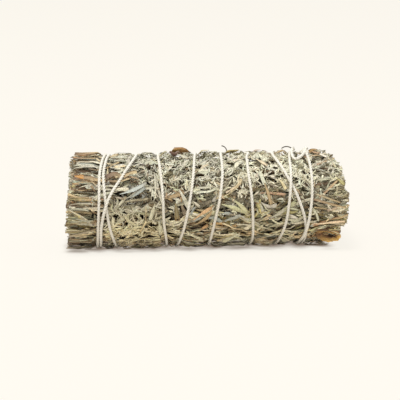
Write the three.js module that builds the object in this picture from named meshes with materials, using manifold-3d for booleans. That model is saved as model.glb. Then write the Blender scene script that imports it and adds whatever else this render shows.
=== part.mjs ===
// A blue sage smudge stick: 31 dried sage sprigs laid side by side and bound with one wound cotton string.
// Millimetres. +X runs along the stick from the cut stems to the leafy tips, +Z is up, and the stick
// lies on the plane z = 0. Angles go round the stick's own axis: 0 is the front (-Y) and 90 is the top.
import * as THREE from "three";
import { mergeVertices } from "three/addons/utils/BufferGeometryUtils.js";
import Module from "manifold-3d";

// The bundle
const HALF_LENGTH = 52.5;
const BUNDLE_RADIUS = 17.7;
const AXIS_HEIGHT = 16.9; // less than the radius, because the underside is pressed flat where it lies
const SPRIG_GAP = 0.3;
const SPRIG_RINGS = [
  { count: 1, radius: 0, turn: 0 },
  { count: 5, radius: 5.6, turn: 20 },
  { count: 10, radius: 10.9, turn: 5 },
  { count: 15, radius: 15.6, turn: 6 },
];
const OUTER_RING = SPRIG_RINGS[SPRIG_RINGS.length - 1];
const RADIAL_JITTER = 0.5;
const ANGULAR_JITTER = 4; // degrees
const SKIN_UNEVENNESS = 0.4; // how much less than the bundle's radius a sprig may reach

// The ends of the sprigs
const END_TAPER_LENGTH = 2.2;
const END_TAPER = 0.9;
const BUTT_LENGTH = 1.8; // the most that a cut stem stands out of its leaves
const TIP_LENGTH = 1.2;
const SHORTEST_STEM_END = 0.4; // of the two lengths above
const END_UNEVENNESS = 1.2;
const TOP_BUTT_SLANT = 2.6; // the cut butt end leans back towards the top
const TOP_TIP_DROP = 8; // the topmost and lowest sprigs end short of the others
const LOW_TIP_DROP = 7;
const BUTT_RADIUS = 1.15;
const TIP_RADIUS = 0.75;
const STEM_SIDES = 8;
const STEM_OVERLAP = 4; // how far each stem end reaches back into the leaves

// The string
const STRING_RADIUS = 0.55;
const STRING_SIDES = 6;
const STRING_DEPTH = 0.75; // from the bundle's skin in to the string's centre
const CROSSING_CLEARANCE = 1.36; // between the centres of two turns that lie on each other
const HUMP_HALF_WIDTH = 30; // degrees of a turn over which it climbs a crossing
const GROOVE_DEPTH = 2;
const GROOVE_REACH = 2.5;
const GROOVE_FLOOR = 1; // half width of the deepest part
const LEAST_STEP = 0.25; // between two places where a sprig's outline is measured
const FINE_STEP = 2; // degrees
const COARSE_STEP = 14; // degrees
const FULL_TURN = 360;

// Where the string lies along X at each of these angles, one row a turn, in the order of winding. It
// climbs the front, goes over the top at 90 and down the back to the start of the next row.
const TURN_ANGLES = [-78, -48, -18, 12, 45, 74, 102, 220];
const TURNS = [
  [34.9, 36.0, 35.4, 32.6, 28.4, 25.4, 24.7, 19.5],
  [15.8, 16.5, 16.2, 15.7, 14.9, 15.0, 15.5, -13.2],
  [-14.7, -15.2, -16.3, -16.6, -17.1, -17.5, -17.7, -27.6],
  [-32.7, -34.3, -36.2, -37.4, -37.9, -36.6, -35.3, -39.6],
  [-40.2, -40.3, -40.1, -39.7, -39.3, -38.0, -36.7, -38.2],
  [-38.8, -38.9, -38.7, -36.5, -30.8, -26.6, -24.5, -11.4],
  [-11.1, -10.2, -8.5, -6.8, -5.2, -4.3, -3.3, -0.4],
  [0.6, 1.0, 2.1, 4.0, 5.4, 5.7, 6.4, 18.2],
  [24.9, 26.6, 28.4, 29.5, 30.4, 30.9, 32.0, 33.0],
];
const KNOT_ANGLE = 84;
const KNOT_X = 36.2;
const KNOT_SIZE = [1.9, 1.5, 1.2]; // half extents along X, across the top and outwards
const KNOT_LIFT = 1.05;
const FIRST_LEG = [[KNOT_ANGLE, KNOT_X - 0.2], [102, 35.1], [220, 35.6]]; // down the back to the first row
const LAST_TURN = [[-78, 33.5], [-48, 34.6], [-18, 36.5], [12, 37.7], [45, 38.0], [70, 37.6],
  [KNOT_ANGLE, KNOT_X + 0.3]];
// The two loose ends: [angle, x, height over the bundle's skin] from the knot outwards.
const TAILS = [
  [[84, 35.6, 0.9], [78, 35.5, 0.95], [72, 35.1, 0.95], [67, 34.4, 0.95], [64, 33.5, 0.95],
    [63.5, 32.6, 0.95], [67, 31.9, 0.95], [75, 31.7, 0.95], [84, 32.1, 0.95], [94, 33.0, 0.9]],
  [[85, 36.8, 0.9], [90, 37.8, 0.95], [99, 38.4, 0.95], [110, 38.2, 0.9]],
];
const TAIL_STEPS = 18;

const LEAF_COLOURS = [0x97907a, 0x8a8a70, 0xa39a80, 0x7f8478, 0x9c8763];
const STRING_COLOUR = 0xf1ede2;

const wasm = await Module();
wasm.setup();

const radians = THREE.MathUtils.degToRad;

// Seeded random numbers, so that every build is the same.
function randomNumbers(seed) {
  let state = seed;
  return () => {
    state = (state + 0x6d2b79f5) | 0;
    let t = Math.imul(state ^ (state >>> 15), 1 | state);
    t = (t + Math.imul(t ^ (t >>> 7), 61 | t)) ^ t;
    return ((t ^ (t >>> 14)) >>> 0) / 4294967296;
  };
}

// A point on the cross-section at an angle and a radius, as (y, height over the axis).
function around(angle, radius) {
  return new THREE.Vector2(-Math.cos(radians(angle)), Math.sin(radians(angle))).multiplyScalar(radius);
}

function angleOf(point) {
  return THREE.MathUtils.radToDeg(Math.atan2(point.y, -point.x));
}

// The bundle's outer radius at an angle: round, with a flat underside.
function skinRadius(angle) {
  const down = -Math.sin(radians(angle));
  return down * BUNDLE_RADIUS > AXIS_HEIGHT ? AXIS_HEIGHT / down : BUNDLE_RADIUS;
}

// ---- The string's route ----

// The route as [total angle, x] pairs: the total angle grows by 360 with each turn.
function routePoints() {
  const points = FIRST_LEG.map(([angle, x]) => [angle - FULL_TURN, x]);
  TURNS.forEach((row, turn) => {
    TURN_ANGLES.forEach((angle, i) => points.push([angle + turn * FULL_TURN, row[i]]));
  });
  const lastTurn = TURNS.length * FULL_TURN;
  LAST_TURN.forEach(([angle, x]) => points.push([angle + lastTurn, x]));
  return points;
}

const ROUTE = routePoints();
const ROUTE_START = ROUTE[0][0];
const ROUTE_END = ROUTE[ROUTE.length - 1][0];
const TURN_COUNT = TURNS.length + 1;

// The slope of the route at one of its points, from its two neighbours.
function routeSlope(i) {
  const before = ROUTE[Math.max(i - 1, 0)];
  const after = ROUTE[Math.min(i + 1, ROUTE.length - 1)];
  return (after[1] - before[1]) / (after[0] - before[0]);
}

// Where the string lies along X at a total angle: a smooth cubic through the route's points.
function routeX(total) {
  const clamped = THREE.MathUtils.clamp(total, ROUTE_START, ROUTE_END);
  const i = Math.min(ROUTE.findIndex(([angle]) => angle >= clamped - 1e-9) - 1, ROUTE.length - 2);
  const k = Math.max(i, 0);
  const [a0, x0] = ROUTE[k];
  const [a1, x1] = ROUTE[k + 1];
  const span = a1 - a0;
  const t = (clamped - a0) / span;
  const rise = t * t * (3 - 2 * t);
  return x0 + (x1 - x0) * rise
    + routeSlope(k) * span * t * (1 - t) * (1 - t)
    - routeSlope(k + 1) * span * t * t * (1 - t);
}

// How far the string is lifted at each fine step to pass over the turns wound before it.
function routeLifts() {
  const steps = Math.round((ROUTE_END - ROUTE_START) / FINE_STEP);
  const perTurn = FULL_TURN / FINE_STEP;
  const reach = HUMP_HALF_WIDTH / FINE_STEP;
  const xs = Array.from({ length: steps + 1 }, (_, i) => routeX(ROUTE_START + i * FINE_STEP));
  const lifts = new Array(steps + 1).fill(0);
  for (let i = perTurn; i <= steps; i++) {
    let need = 0;
    for (let j = i - perTurn; j >= 0; j -= perTurn) {
      const apart = Math.abs(xs[i] - xs[j]);
      if (apart < CROSSING_CLEARANCE)
        need = Math.max(need, lifts[j] + Math.sqrt(CROSSING_CLEARANCE ** 2 - apart ** 2));
    }
    for (let d = -reach; need > 0 && d <= reach; d++) {
      const k = i + d;
      if (k >= 0 && k <= steps)
        lifts[k] = Math.max(lifts[k], need * 0.5 * (1 + Math.cos((Math.PI * d) / reach)));
    }
  }
  return lifts;
}

const LIFTS = routeLifts();

// A point in the part's frame at an angle round the bundle, x along it and a radius.
function place(angle, x, radius) {
  const across = around(angle, radius);
  return new THREE.Vector3(x, across.x, AXIS_HEIGHT + across.y);
}

function stringPoints() {
  const steps = Math.round((ROUTE_END - ROUTE_START) / COARSE_STEP);
  return Array.from({ length: steps + 1 }, (_, i) => {
    const total = THREE.MathUtils.lerp(ROUTE_START, ROUTE_END, i / steps);
    const lift = LIFTS[Math.round((total - ROUTE_START) / FINE_STEP)];
    const atKnot = i === 0 || i === steps ? KNOT_LIFT : 0;
    return place(total, routeX(total), skinRadius(total) - STRING_DEPTH + Math.max(lift, atKnot));
  });
}

// Where the ten turns cross one angle of the bundle, in order along X.
function crossings(angle) {
  const firstTurn = angle > KNOT_ANGLE ? -1 : 0;
  return Array.from({ length: TURN_COUNT }, (_, i) => routeX(angle + (firstTurn + i) * FULL_TURN))
    .sort((a, b) => a - b);
}

// ---- Solids ----

function toSolid(geometry) {
  const bare = new THREE.BufferGeometry().setAttribute("position", geometry.getAttribute("position"));
  if (geometry.index) bare.setIndex(geometry.index);
  const merged = mergeVertices(bare, 1e-4);
  return new wasm.Manifold(new wasm.Mesh({
    numProp: 3,
    vertProperties: merged.getAttribute("position").array,
    triVerts: new Uint32Array(merged.index.array),
  }));
}

function toGeometry(solid) {
  const { vertProperties, triVerts } = solid.getMesh();
  const geometry = new THREE.BufferGeometry();
  geometry.setAttribute("position", new THREE.BufferAttribute(vertProperties, 3));
  geometry.setIndex(new THREE.BufferAttribute(triVerts, 1));
  geometry.computeVertexNormals();
  return geometry;
}

function union(geometries) {
  return toGeometry(geometries.map(toSolid).reduce((all, solid) => all.add(solid)));
}

function tubeAlong(points, radius, sides, steps) {
  const outline = Array.from({ length: sides }, (_, i) => {
    const angle = (i * 2 * Math.PI) / sides;
    return new THREE.Vector2(radius * Math.cos(angle), radius * Math.sin(angle));
  });
  const extrudePath = new THREE.CatmullRomCurve3(points);
  extrudePath.arcLengthDivisions = steps * 6;
  return new THREE.ExtrudeGeometry(new THREE.Shape(outline), { steps, extrudePath });
}

// ---- The sprigs ----

// The middle of each sprig on the cross-section, ring by ring.
function sprigSeeds() {
  const random = randomNumbers(11);
  return SPRIG_RINGS.flatMap(({ count, radius, turn }) => Array.from({ length: count }, (_, i) => {
    const jitter = radius === 0 ? 0 : 1;
    const angle = turn + (i * FULL_TURN) / count + jitter * ANGULAR_JITTER * (2 * random() - 1);
    return around(angle, radius + jitter * RADIAL_JITTER * (2 * random() - 1));
  }));
}

// Cuts a convex outline along the line through `on`, and keeps the side that `normal` points away from.
function clip(outline, on, normal) {
  const kept = [];
  outline.forEach((point, i) => {
    const next = outline[(i + 1) % outline.length];
    const here = point.clone().sub(on).dot(normal);
    const there = next.clone().sub(on).dot(normal);
    if (here <= 0) kept.push(point);
    if (here * there < 0) kept.push(point.clone().lerp(next, here / (here - there)));
  });
  return kept;
}

// The space that one sprig fills on the cross-section: nearer to it than to any other, less the gap.
function sprigCell(seed, seeds) {
  const far = 2 * BUNDLE_RADIUS;
  const square = [[-far, -far], [far, -far], [far, far], [-far, far]];
  let outline = square.map(([y, z]) => new THREE.Vector2(y, z));
  seeds.filter((other) => other !== seed).forEach((other) => {
    const normal = other.clone().sub(seed).normalize();
    const middle = other.clone().add(seed).multiplyScalar(0.5);
    outline = clip(outline, middle.addScaledVector(normal, -SPRIG_GAP / 2), normal);
  });
  return outline;
}

// The corners of a sprig's outline. A corner on the bundle's skin keeps the direction in which it can move.
function sprigCorners(outline) {
  const inside = (point) => point.length() < BUNDLE_RADIUS;
  if (outline.every(inside)) return outline.map((point) => ({ point }));
  const leaves = (point, i) => inside(point) && !inside(outline[(i + 1) % outline.length]);
  const first = outline.findIndex(leaves);
  const turned = [...outline.slice(first + 1), ...outline.slice(0, first + 1)];
  const inner = turned.filter(inside);
  const outer = turned.filter((point) => !inside(point));
  const leave = inner[inner.length - 1];
  const enter = inner[0];
  const walls = [[leave, outer[0]], [enter, outer[outer.length - 1]]].map(([from, to]) => {
    const direction = to.clone().sub(from).normalize();
    return { point: onSkin(from, direction, BUNDLE_RADIUS), direction };
  });
  const middle = walls[0].point.clone().add(walls[1].point).normalize();
  const crown = { point: middle.clone().multiplyScalar(BUNDLE_RADIUS), direction: middle };
  return [...inner.map((point) => ({ point })), walls[0], crown, walls[1]];
}

// The point where a line from `from` meets a circle of this radius round the axis, or the ground.
function onSkin(from, direction, radius) {
  const along = from.dot(direction);
  const reach = -along + Math.sqrt(along * along - from.lengthSq() + radius * radius);
  const toGround = direction.y < 0 ? (-AXIS_HEIGHT - from.y) / direction.y : Infinity;
  return from.clone().addScaledVector(direction, Math.min(reach, toGround));
}

// How deep the string presses the skin in at one place.
function grooveDepth(x, angle) {
  const nearest = Math.min(...crossings(angle).map((turn) => Math.abs(turn - x)));
  const rise = THREE.MathUtils.clamp((nearest - GROOVE_FLOOR) / (GROOVE_REACH - GROOVE_FLOOR), 0, 1);
  return GROOVE_DEPTH * (1 - rise);
}

// Where an outer sprig is measured along X at one angle: its ends, each turn of the string, and the
// shoulders on both sides of each turn.
function stations(sprig, angle) {
  const turns = crossings(angle);
  const list = [sprig.left, sprig.left + END_TAPER_LENGTH, turns[0] - GROOVE_REACH];
  turns.forEach((x, i) => {
    list.push(x);
    if (i === turns.length - 1) return;
    const shoulder = Math.min(GROOVE_REACH, (turns[i + 1] - x) / 3);
    list.push(x + shoulder, turns[i + 1] - shoulder);
  });
  list.push(turns[turns.length - 1] + GROOVE_REACH, sprig.right - END_TAPER_LENGTH, sprig.right);
  for (let i = list.length - 2; i > 0; i--) list[i] = Math.min(list[i], list[i + 1] - LEAST_STEP);
  for (let i = 1; i < list.length - 1; i++) list[i] = Math.max(list[i], list[i - 1] + LEAST_STEP);
  return list;
}

function innerStations(sprig) {
  return [sprig.left, sprig.left + END_TAPER_LENGTH, sprig.right - END_TAPER_LENGTH, sprig.right];
}

// A sprig's mass of leaves: its outline run along X, then each layer moved to its own place and size.
function sprigBody(sprig) {
  const layers = sprig.corners.map(({ point }) => (
    sprig.outer ? stations(sprig, angleOf(point)) : innerStations(sprig)
  ));
  const steps = layers[0].length - 1;
  const shape = new THREE.Shape(sprig.corners.map(({ point }) => point));
  const geometry = new THREE.ExtrudeGeometry(shape, { depth: steps, steps, bevelEnabled: false });
  const position = geometry.getAttribute("position");
  const here = new THREE.Vector2();
  for (let v = 0; v < position.count; v++) {
    here.set(position.getX(v), position.getY(v));
    const c = sprig.corners.findIndex(({ point }) => point.distanceTo(here) < 1e-3);
    const layer = Math.round(position.getZ(v));
    const atEnd = layer === 0 || layer === steps;
    const spot = cornerAt(sprig, sprig.corners[c], layers[c][layer], atEnd);
    position.setXYZ(v, layers[c][layer], spot.x, AXIS_HEIGHT + spot.y);
  }
  return geometry;
}

// Where a corner stands at x: pressed in under the string, and drawn in at the sprig's ends.
function cornerAt(sprig, { point, direction }, x, atEnd) {
  const spot = point.clone();
  if (direction) {
    const inside = point.clone().addScaledVector(direction, -2 * GROOVE_DEPTH);
    spot.copy(onSkin(inside, direction, sprig.reach));
    spot.addScaledVector(direction, -grooveDepth(x, angleOf(point)));
  }
  if (!atEnd) return spot;
  const inwards = sprig.seed.clone().sub(spot).normalize();
  return spot.addScaledVector(inwards, END_TAPER);
}

// A cut stem end, from inside the leaves out to its tip.
function stemEnd(sprig, from, to, radius) {
  const length = Math.abs(to - from);
  const stem = new THREE.CylinderGeometry(radius, radius, length, STEM_SIDES);
  stem.rotateZ(Math.PI / 2);
  stem.translate((from + to) / 2, sprig.seed.x, AXIS_HEIGHT + sprig.seed.y);
  return stem;
}

function sprigGeometry(sprig) {
  const butt = sprig.left - sprig.buttLength;
  const tip = sprig.right + sprig.tipLength;
  return union([
    sprigBody(sprig),
    stemEnd(sprig, butt, sprig.left + STEM_OVERLAP, BUTT_RADIUS),
    stemEnd(sprig, sprig.right - STEM_OVERLAP, tip, TIP_RADIUS),
  ]);
}

// Every sprig's place, ends and reach.
function sprigs() {
  const random = randomNumbers(5);
  const seeds = sprigSeeds();
  return seeds.map((seed) => {
    const corners = sprigCorners(sprigCell(seed, seeds));
    const height = seed.y / OUTER_RING.radius;
    const slant = TOP_BUTT_SLANT * Math.max(height, 0);
    const drop = height > 0 ? TOP_TIP_DROP * height ** 6 : LOW_TIP_DROP * Math.abs(height) ** 3;
    return {
      seed,
      corners,
      outer: corners.some(({ direction }) => direction),
      reach: BUNDLE_RADIUS - SKIN_UNEVENNESS * random(),
      left: -HALF_LENGTH + BUTT_LENGTH + slant + END_UNEVENNESS * random(),
      right: HALF_LENGTH - TIP_LENGTH - drop - END_UNEVENNESS * random(),
      buttLength: BUTT_LENGTH * THREE.MathUtils.lerp(SHORTEST_STEM_END, 1, random()),
      tipLength: TIP_LENGTH * THREE.MathUtils.lerp(SHORTEST_STEM_END, 1, random()),
    };
  });
}

// ---- The string's solid ----

function tailGeometry(points) {
  const route = points.map(([angle, x, lift]) => place(angle, x, BUNDLE_RADIUS + lift));
  return tubeAlong(route, STRING_RADIUS, STRING_SIDES, TAIL_STEPS);
}

function knotGeometry() {
  const knot = new THREE.IcosahedronGeometry(1, 2);
  knot.scale(...KNOT_SIZE);
  knot.translate(...place(KNOT_ANGLE, KNOT_X, BUNDLE_RADIUS + KNOT_LIFT - STRING_DEPTH).toArray());
  return knot;
}

function stringGeometry() {
  const points = stringPoints();
  const wound = tubeAlong(points, STRING_RADIUS, STRING_SIDES, points.length - 1);
  return union([wound, knotGeometry(), ...TAILS.map(tailGeometry)]);
}

// ---- The stick ----

function named(name, geometry, color) {
  const mesh = new THREE.Mesh(geometry, new THREE.MeshStandardMaterial({ color, roughness: 0.95 }));
  mesh.name = name;
  return mesh;
}

const stick = new THREE.Group();
stick.name = "blue_sage_smudge_stick";
sprigs().forEach((sprig, i) => {
  const name = `sprig_${String(i + 1).padStart(2, "0")}`;
  stick.add(named(name, sprigGeometry(sprig), LEAF_COLOURS[i % LEAF_COLOURS.length]));
});
stick.add(named("cotton_string", stringGeometry(), STRING_COLOUR));

export default stick;
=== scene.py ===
"""A blue sage smudge stick: dried sprigs of stems and leaves, bound with one wound cotton string.

Lengths are in millimetres until a mesh is written, in the frame's own axes: +X along the stick from the
stems' butts to their tips, +Z up. Angles go round the stick's axis: 0 is the front (-Y), 90 is the top.
"""
import math

import bpy
import numpy as np
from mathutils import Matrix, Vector


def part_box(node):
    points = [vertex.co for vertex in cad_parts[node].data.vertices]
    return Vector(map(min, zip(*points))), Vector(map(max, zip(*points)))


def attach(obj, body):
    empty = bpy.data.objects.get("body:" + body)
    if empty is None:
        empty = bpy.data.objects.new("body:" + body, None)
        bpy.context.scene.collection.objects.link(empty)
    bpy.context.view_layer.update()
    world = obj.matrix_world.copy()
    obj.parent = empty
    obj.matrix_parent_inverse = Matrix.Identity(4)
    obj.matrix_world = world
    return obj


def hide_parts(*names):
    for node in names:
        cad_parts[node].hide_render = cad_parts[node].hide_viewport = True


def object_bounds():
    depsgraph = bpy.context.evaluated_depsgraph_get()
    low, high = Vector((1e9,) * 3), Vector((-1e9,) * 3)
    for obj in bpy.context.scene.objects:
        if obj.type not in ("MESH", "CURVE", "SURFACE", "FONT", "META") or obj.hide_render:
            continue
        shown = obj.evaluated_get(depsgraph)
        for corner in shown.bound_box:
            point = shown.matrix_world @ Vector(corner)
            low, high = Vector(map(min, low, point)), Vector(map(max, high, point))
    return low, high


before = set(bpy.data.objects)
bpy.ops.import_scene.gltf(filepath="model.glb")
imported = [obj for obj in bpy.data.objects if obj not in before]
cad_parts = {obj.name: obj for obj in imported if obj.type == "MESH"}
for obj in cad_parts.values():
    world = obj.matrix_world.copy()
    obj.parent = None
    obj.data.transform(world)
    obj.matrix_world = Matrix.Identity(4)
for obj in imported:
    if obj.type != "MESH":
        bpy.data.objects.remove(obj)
CAD_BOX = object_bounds()

MM = 0.001
BODY = "root"
STRING_NODE = "cotton_string"
FULL_TURN = 360
FIRST_ANGLE = -90

# The bundle
BUNDLE_RADIUS = 17.7
AXIS_HEIGHT = 16.9
MM_PER_DEGREE = math.radians(BUNDLE_RADIUS)
ROUND = FULL_TURN * MM_PER_DEGREE
OUTER_RING_INSIDE = 13.2

# The string's route, as the CAD model has it
STRING_DEPTH = 0.75
CROSSING_CLEARANCE = 1.16
HUMP_HALF_WIDTH = 30
FINE_STEP = 2
TURN_ANGLES = [-78, -48, -18, 12, 45, 74, 102, 220]
TURNS = [
    [34.9, 36.0, 35.4, 32.6, 28.4, 25.4, 24.7, 19.5],
    [15.8, 16.5, 16.2, 15.7, 14.9, 15.0, 15.5, -13.2],
    [-14.7, -15.2, -16.3, -16.6, -17.1, -17.5, -17.7, -27.6],
    [-32.7, -34.3, -36.2, -37.4, -37.9, -36.6, -35.3, -39.6],
    [-40.2, -40.3, -40.1, -39.7, -39.3, -38.0, -36.7, -38.2],
    [-39.0, -39.1, -38.9, -36.6, -30.8, -26.6, -24.5, -11.4],
    [-11.1, -10.2, -8.5, -6.8, -5.2, -4.3, -3.3, -0.4],
    [0.6, 1.0, 2.1, 4.0, 5.4, 5.7, 6.4, 18.2],
    [24.9, 26.6, 28.4, 29.5, 30.4, 30.9, 32.0, 33.0],
]
KNOT_ANGLE = 84
KNOT_X = 36.2
KNOT_LIFT = 1.05
FIRST_LEG = [[KNOT_ANGLE, KNOT_X - 0.2], [102, 35.1], [220, 35.6]]
LAST_TURN = [[-78, 33.5], [-48, 34.6], [-18, 36.5], [12, 37.7], [45, 38.0], [70, 37.6],
             [KNOT_ANGLE, KNOT_X + 0.3]]
TAILS = [
    [[82, 36.9, 0.9], [77, 36.6, 0.95], [72, 35.9, 0.95], [67, 34.8, 0.95], [63, 33.6, 0.95],
     [61.5, 32.5, 0.95], [65, 31.7, 0.95], [74, 31.6, 0.95], [84, 32.1, 0.95], [94, 33.0, 0.9]],
    [[85, 36.8, 0.9], [90, 37.8, 0.95], [99, 38.4, 0.95], [110, 38.2, 0.9]],
]

# ---- Camera ----
CAMERA_DISTANCE = 620
CAMERA_AZIMUTH = -4.8
CAMERA_ELEVATION = 12
CAMERA_LENS = 150
CAMERA_SHIFT = (-0.0125, -0.0095)
SENSOR_WIDTH = 36
CAMERA_CLIP = 0.01, 50


def make_camera():
    low, high = (np.array(corner) for corner in CAD_BOX)
    middle = Vector((low + high) / 2)
    azimuth = math.radians(CAMERA_AZIMUTH)
    elevation = math.radians(CAMERA_ELEVATION)
    away = Vector((math.sin(azimuth) * math.cos(elevation),
                   -math.cos(azimuth) * math.cos(elevation),
                   math.sin(elevation)))
    data = bpy.data.cameras.new("camera")
    data.lens = CAMERA_LENS
    data.sensor_width = SENSOR_WIDTH
    data.shift_x, data.shift_y = CAMERA_SHIFT
    data.clip_start, data.clip_end = CAMERA_CLIP
    camera = bpy.data.objects.new("camera", data)
    bpy.context.scene.collection.objects.link(camera)
    camera.location = middle + away * CAMERA_DISTANCE * MM
    camera.rotation_euler = (-away).to_track_quat("-Z", "Y").to_euler()
    bpy.context.scene.camera = camera


# ---- The bundle's skin: a sheet rolled round the axis, where s is the length round it from the front ----
def skin_radius(degrees):
    """The bundle's outer radius: round, with a flat underside."""
    down = -np.sin(np.radians(degrees))
    flat = AXIS_HEIGHT / np.maximum(down, 1e-6)
    return np.where(down * BUNDLE_RADIUS > AXIS_HEIGHT, flat, BUNDLE_RADIUS)


def in_space(x, degrees, radius):
    """Points at angles round the stick's axis, and distances from it, as (x, y, z)."""
    angle = np.radians(degrees)
    return np.stack([x, -radius * np.cos(angle), AXIS_HEIGHT + radius * np.sin(angle)], axis=-1)


def roll_up(x, s, height):
    """Points of the sheet, height over the skin, as (x, y, z)."""
    degrees = s / MM_PER_DEGREE
    return in_space(x, degrees, skin_radius(degrees) + height)


def turned_from(degrees, other):
    """How far angles are from another, from -180 to 180."""
    return (degrees - other + FULL_TURN / 2) % FULL_TURN - FULL_TURN / 2


def circle(count):
    """Angles evenly round a circle."""
    return np.arange(count) * 2 * math.pi / count


def bell(value):
    """1 at 0, falling away evenly on both sides."""
    return np.exp(-0.5 * value ** 2)


# ---- The string's route ----
def route_points():
    points = [(angle - FULL_TURN, x) for angle, x in FIRST_LEG]
    for turn, row in enumerate(TURNS):
        points += [(angle + turn * FULL_TURN, x) for angle, x in zip(TURN_ANGLES, row)]
    points += [(angle + len(TURNS) * FULL_TURN, x) for angle, x in LAST_TURN]
    return np.array(points, float)


ROUTE = route_points()
ROUTE_START, ROUTE_END = ROUTE[0, 0], ROUTE[-1, 0]


def route_slopes():
    before = np.vstack([ROUTE[:1], ROUTE[:-1]])
    after = np.vstack([ROUTE[1:], ROUTE[-1:]])
    return (after[:, 1] - before[:, 1]) / (after[:, 0] - before[:, 0])


ROUTE_SLOPES = route_slopes()


def route_x(total):
    """Where the string lies along X at each total angle: a smooth cubic through the route's points."""
    total = np.clip(total, ROUTE_START, ROUTE_END)
    k = np.clip(np.searchsorted(ROUTE[:, 0], total - 1e-9) - 1, 0, len(ROUTE) - 2)
    a0, x0 = ROUTE[k, 0], ROUTE[k, 1]
    a1, x1 = ROUTE[k + 1, 0], ROUTE[k + 1, 1]
    span = a1 - a0
    t = (total - a0) / span
    rise = t * t * (3 - 2 * t)
    ease_in = ROUTE_SLOPES[k] * span * t * (1 - t) ** 2
    ease_out = ROUTE_SLOPES[k + 1] * span * t * t * (1 - t)
    return x0 + (x1 - x0) * rise + ease_in - ease_out


def route_lifts(totals):
    """How far the string is lifted at each fine step to pass over the turns wound before it."""
    xs = route_x(totals)
    per_turn = FULL_TURN // FINE_STEP
    reach = HUMP_HALF_WIDTH // FINE_STEP
    offsets = np.arange(-reach, reach + 1)
    hump = 0.5 * (1 + np.cos(np.pi * offsets / reach))
    lifts = np.zeros(len(totals))
    for i in range(per_turn, len(totals)):
        under = np.arange(i - per_turn, -1, -per_turn)
        apart = np.abs(xs[i] - xs[under])
        close = apart < CROSSING_CLEARANCE
        if not close.any():
            continue
        need = (lifts[under] + np.sqrt(np.maximum(CROSSING_CLEARANCE ** 2 - apart ** 2, 0)))[close].max()
        k = i + offsets
        inside = (k >= 0) & (k < len(totals))
        lifts[k[inside]] = np.maximum(lifts[k[inside]], need * hump[inside])
    return lifts


FINE_TOTALS = np.arange(ROUTE_START, ROUTE_END + FINE_STEP / 2, FINE_STEP)
FINE_LIFTS = route_lifts(FINE_TOTALS)


def string_radius_at(total):
    """The distance from the bundle's axis to the string's middle."""
    lift = np.interp(total, FINE_TOTALS, FINE_LIFTS)
    return skin_radius(total) - STRING_DEPTH + lift


def crossing_tables():
    """For each whole degree round the bundle: where the ten turns lie along X, and how far out."""
    degrees = np.arange(FIRST_ANGLE, FIRST_ANGLE + FULL_TURN)
    first = np.where(degrees > KNOT_ANGLE, -1, 0)
    totals = degrees[:, None] + (first[:, None] + np.arange(len(TURNS) + 1)) * FULL_TURN
    totals = np.clip(totals, ROUTE_START, ROUTE_END)
    return route_x(totals), string_radius_at(totals)


CROSSING_X, CROSSING_RADIUS = crossing_tables()

# ---- How high leaves may stand: under the string, and only a little proud of the skin ----
PROUD = 0.12
SUNK = 0.3
UNDER_STRING = 0.34
NIP_HALF_WIDTH = 0.4
NIP_SLOPE = 1.0
KNOT_HOLLOW = 1.6
HERO_NIP = 0.18
HERO_NIP_SHARE = 0.4
KNOT_STRETCH = 1.3
KNOT_SINK = 0.7
LEAST_DOWN = 0.2
GROUND_CLEARANCE = 0.04


def smooth_least(values, limit, softness):
    """Values kept under a limit, with a soft bend as they come near it."""
    return values - softness * np.logaddexp(0, (values - limit) / softness)


def ceiling(x, s, step, proud):
    """The greatest height over the skin that a leaf may have at a place of the sheet.

    A leaf with long steps between its points is held down over a wider strip beside the string. One that
    stands out is held down a little less, so that it stays on top there.
    """
    degrees = s / MM_PER_DEGREE
    k = np.round(degrees - FIRST_ANGLE).astype(int) % FULL_TURN
    away = np.abs(x[:, None] - CROSSING_X[k])
    under = CROSSING_RADIUS[k] - UNDER_STRING - skin_radius(degrees)[:, None]
    clear = NIP_HALF_WIDTH + 0.5 * step
    nip = (under + NIP_SLOPE * np.maximum(away - clear[:, None], 0)).min(axis=1)
    nip = nip + np.minimum(HERO_NIP_SHARE * (proud - PROUD), HERO_NIP)
    around = turned_from(degrees, KNOT_ANGLE) * MM_PER_DEGREE
    from_knot = np.hypot((x - KNOT_X) / KNOT_STRETCH, around)
    below_knot = -KNOT_SINK + np.maximum(from_knot - KNOT_HOLLOW, 0)
    down = -np.sin(np.radians(degrees))
    ground = AXIS_HEIGHT / np.maximum(down, LEAST_DOWN) - GROUND_CLEARANCE - skin_radius(degrees)
    free = np.where(down > LEAST_DOWN, np.minimum(proud, ground), proud)
    limit = np.minimum(np.minimum(nip, free), below_knot)
    return np.minimum(limit, ROLLED_ROOM + ROLLED_SLOPE * np.maximum(from_rolled(x, s) - ROLLED_RADIUS, 0))


# The big leaf curled up at the tip end: its two ends (x, angle) and how it lies
ROLLED_ENDS = (40.6, -43), (48.4, -46)
ROLLED_RADIUS = 1.9
ROLLED_ROOM = -2.6
ROLLED_SLOPE = 1.3
ROLLED_FACING = -22
ROLLED_SHIFT = 2.2
ROLLED_SEED = 5


def from_rolled(x, s):
    """How far places of the sheet are from the rolled leaf's axis."""
    (x0, angle0), (x1, angle1) = ROLLED_ENDS
    s0, s1 = angle0 * MM_PER_DEGREE, angle1 * MM_PER_DEGREE
    along = np.clip((x - x0) / (x1 - x0), 0, 1)
    around = (s - s0 - along * (s1 - s0) + ROUND / 2) % ROUND - ROUND / 2
    return np.hypot(x - x0 - along * (x1 - x0), around)


# ---- Leaves: every kind is a thin closed solid, lofted along its spine from rings of points ----
# Round each ring: the place across the leaf from -1 to 1, and the side, 1 above and -1 below.
RING_6 = np.array([[-1, 0], [-0.45, 1], [0.45, 1], [1, 0], [0.45, -1], [-0.45, -1]])
RING_8 = np.array([[-1, 0], [-0.5, 1], [0, 1], [0.5, 1], [1, 0], [0.5, -1], [0, -1], [-0.5, -1]])
TWIG_RING = np.array([[math.cos(a), math.sin(a)] for a in circle(7)])

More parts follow.
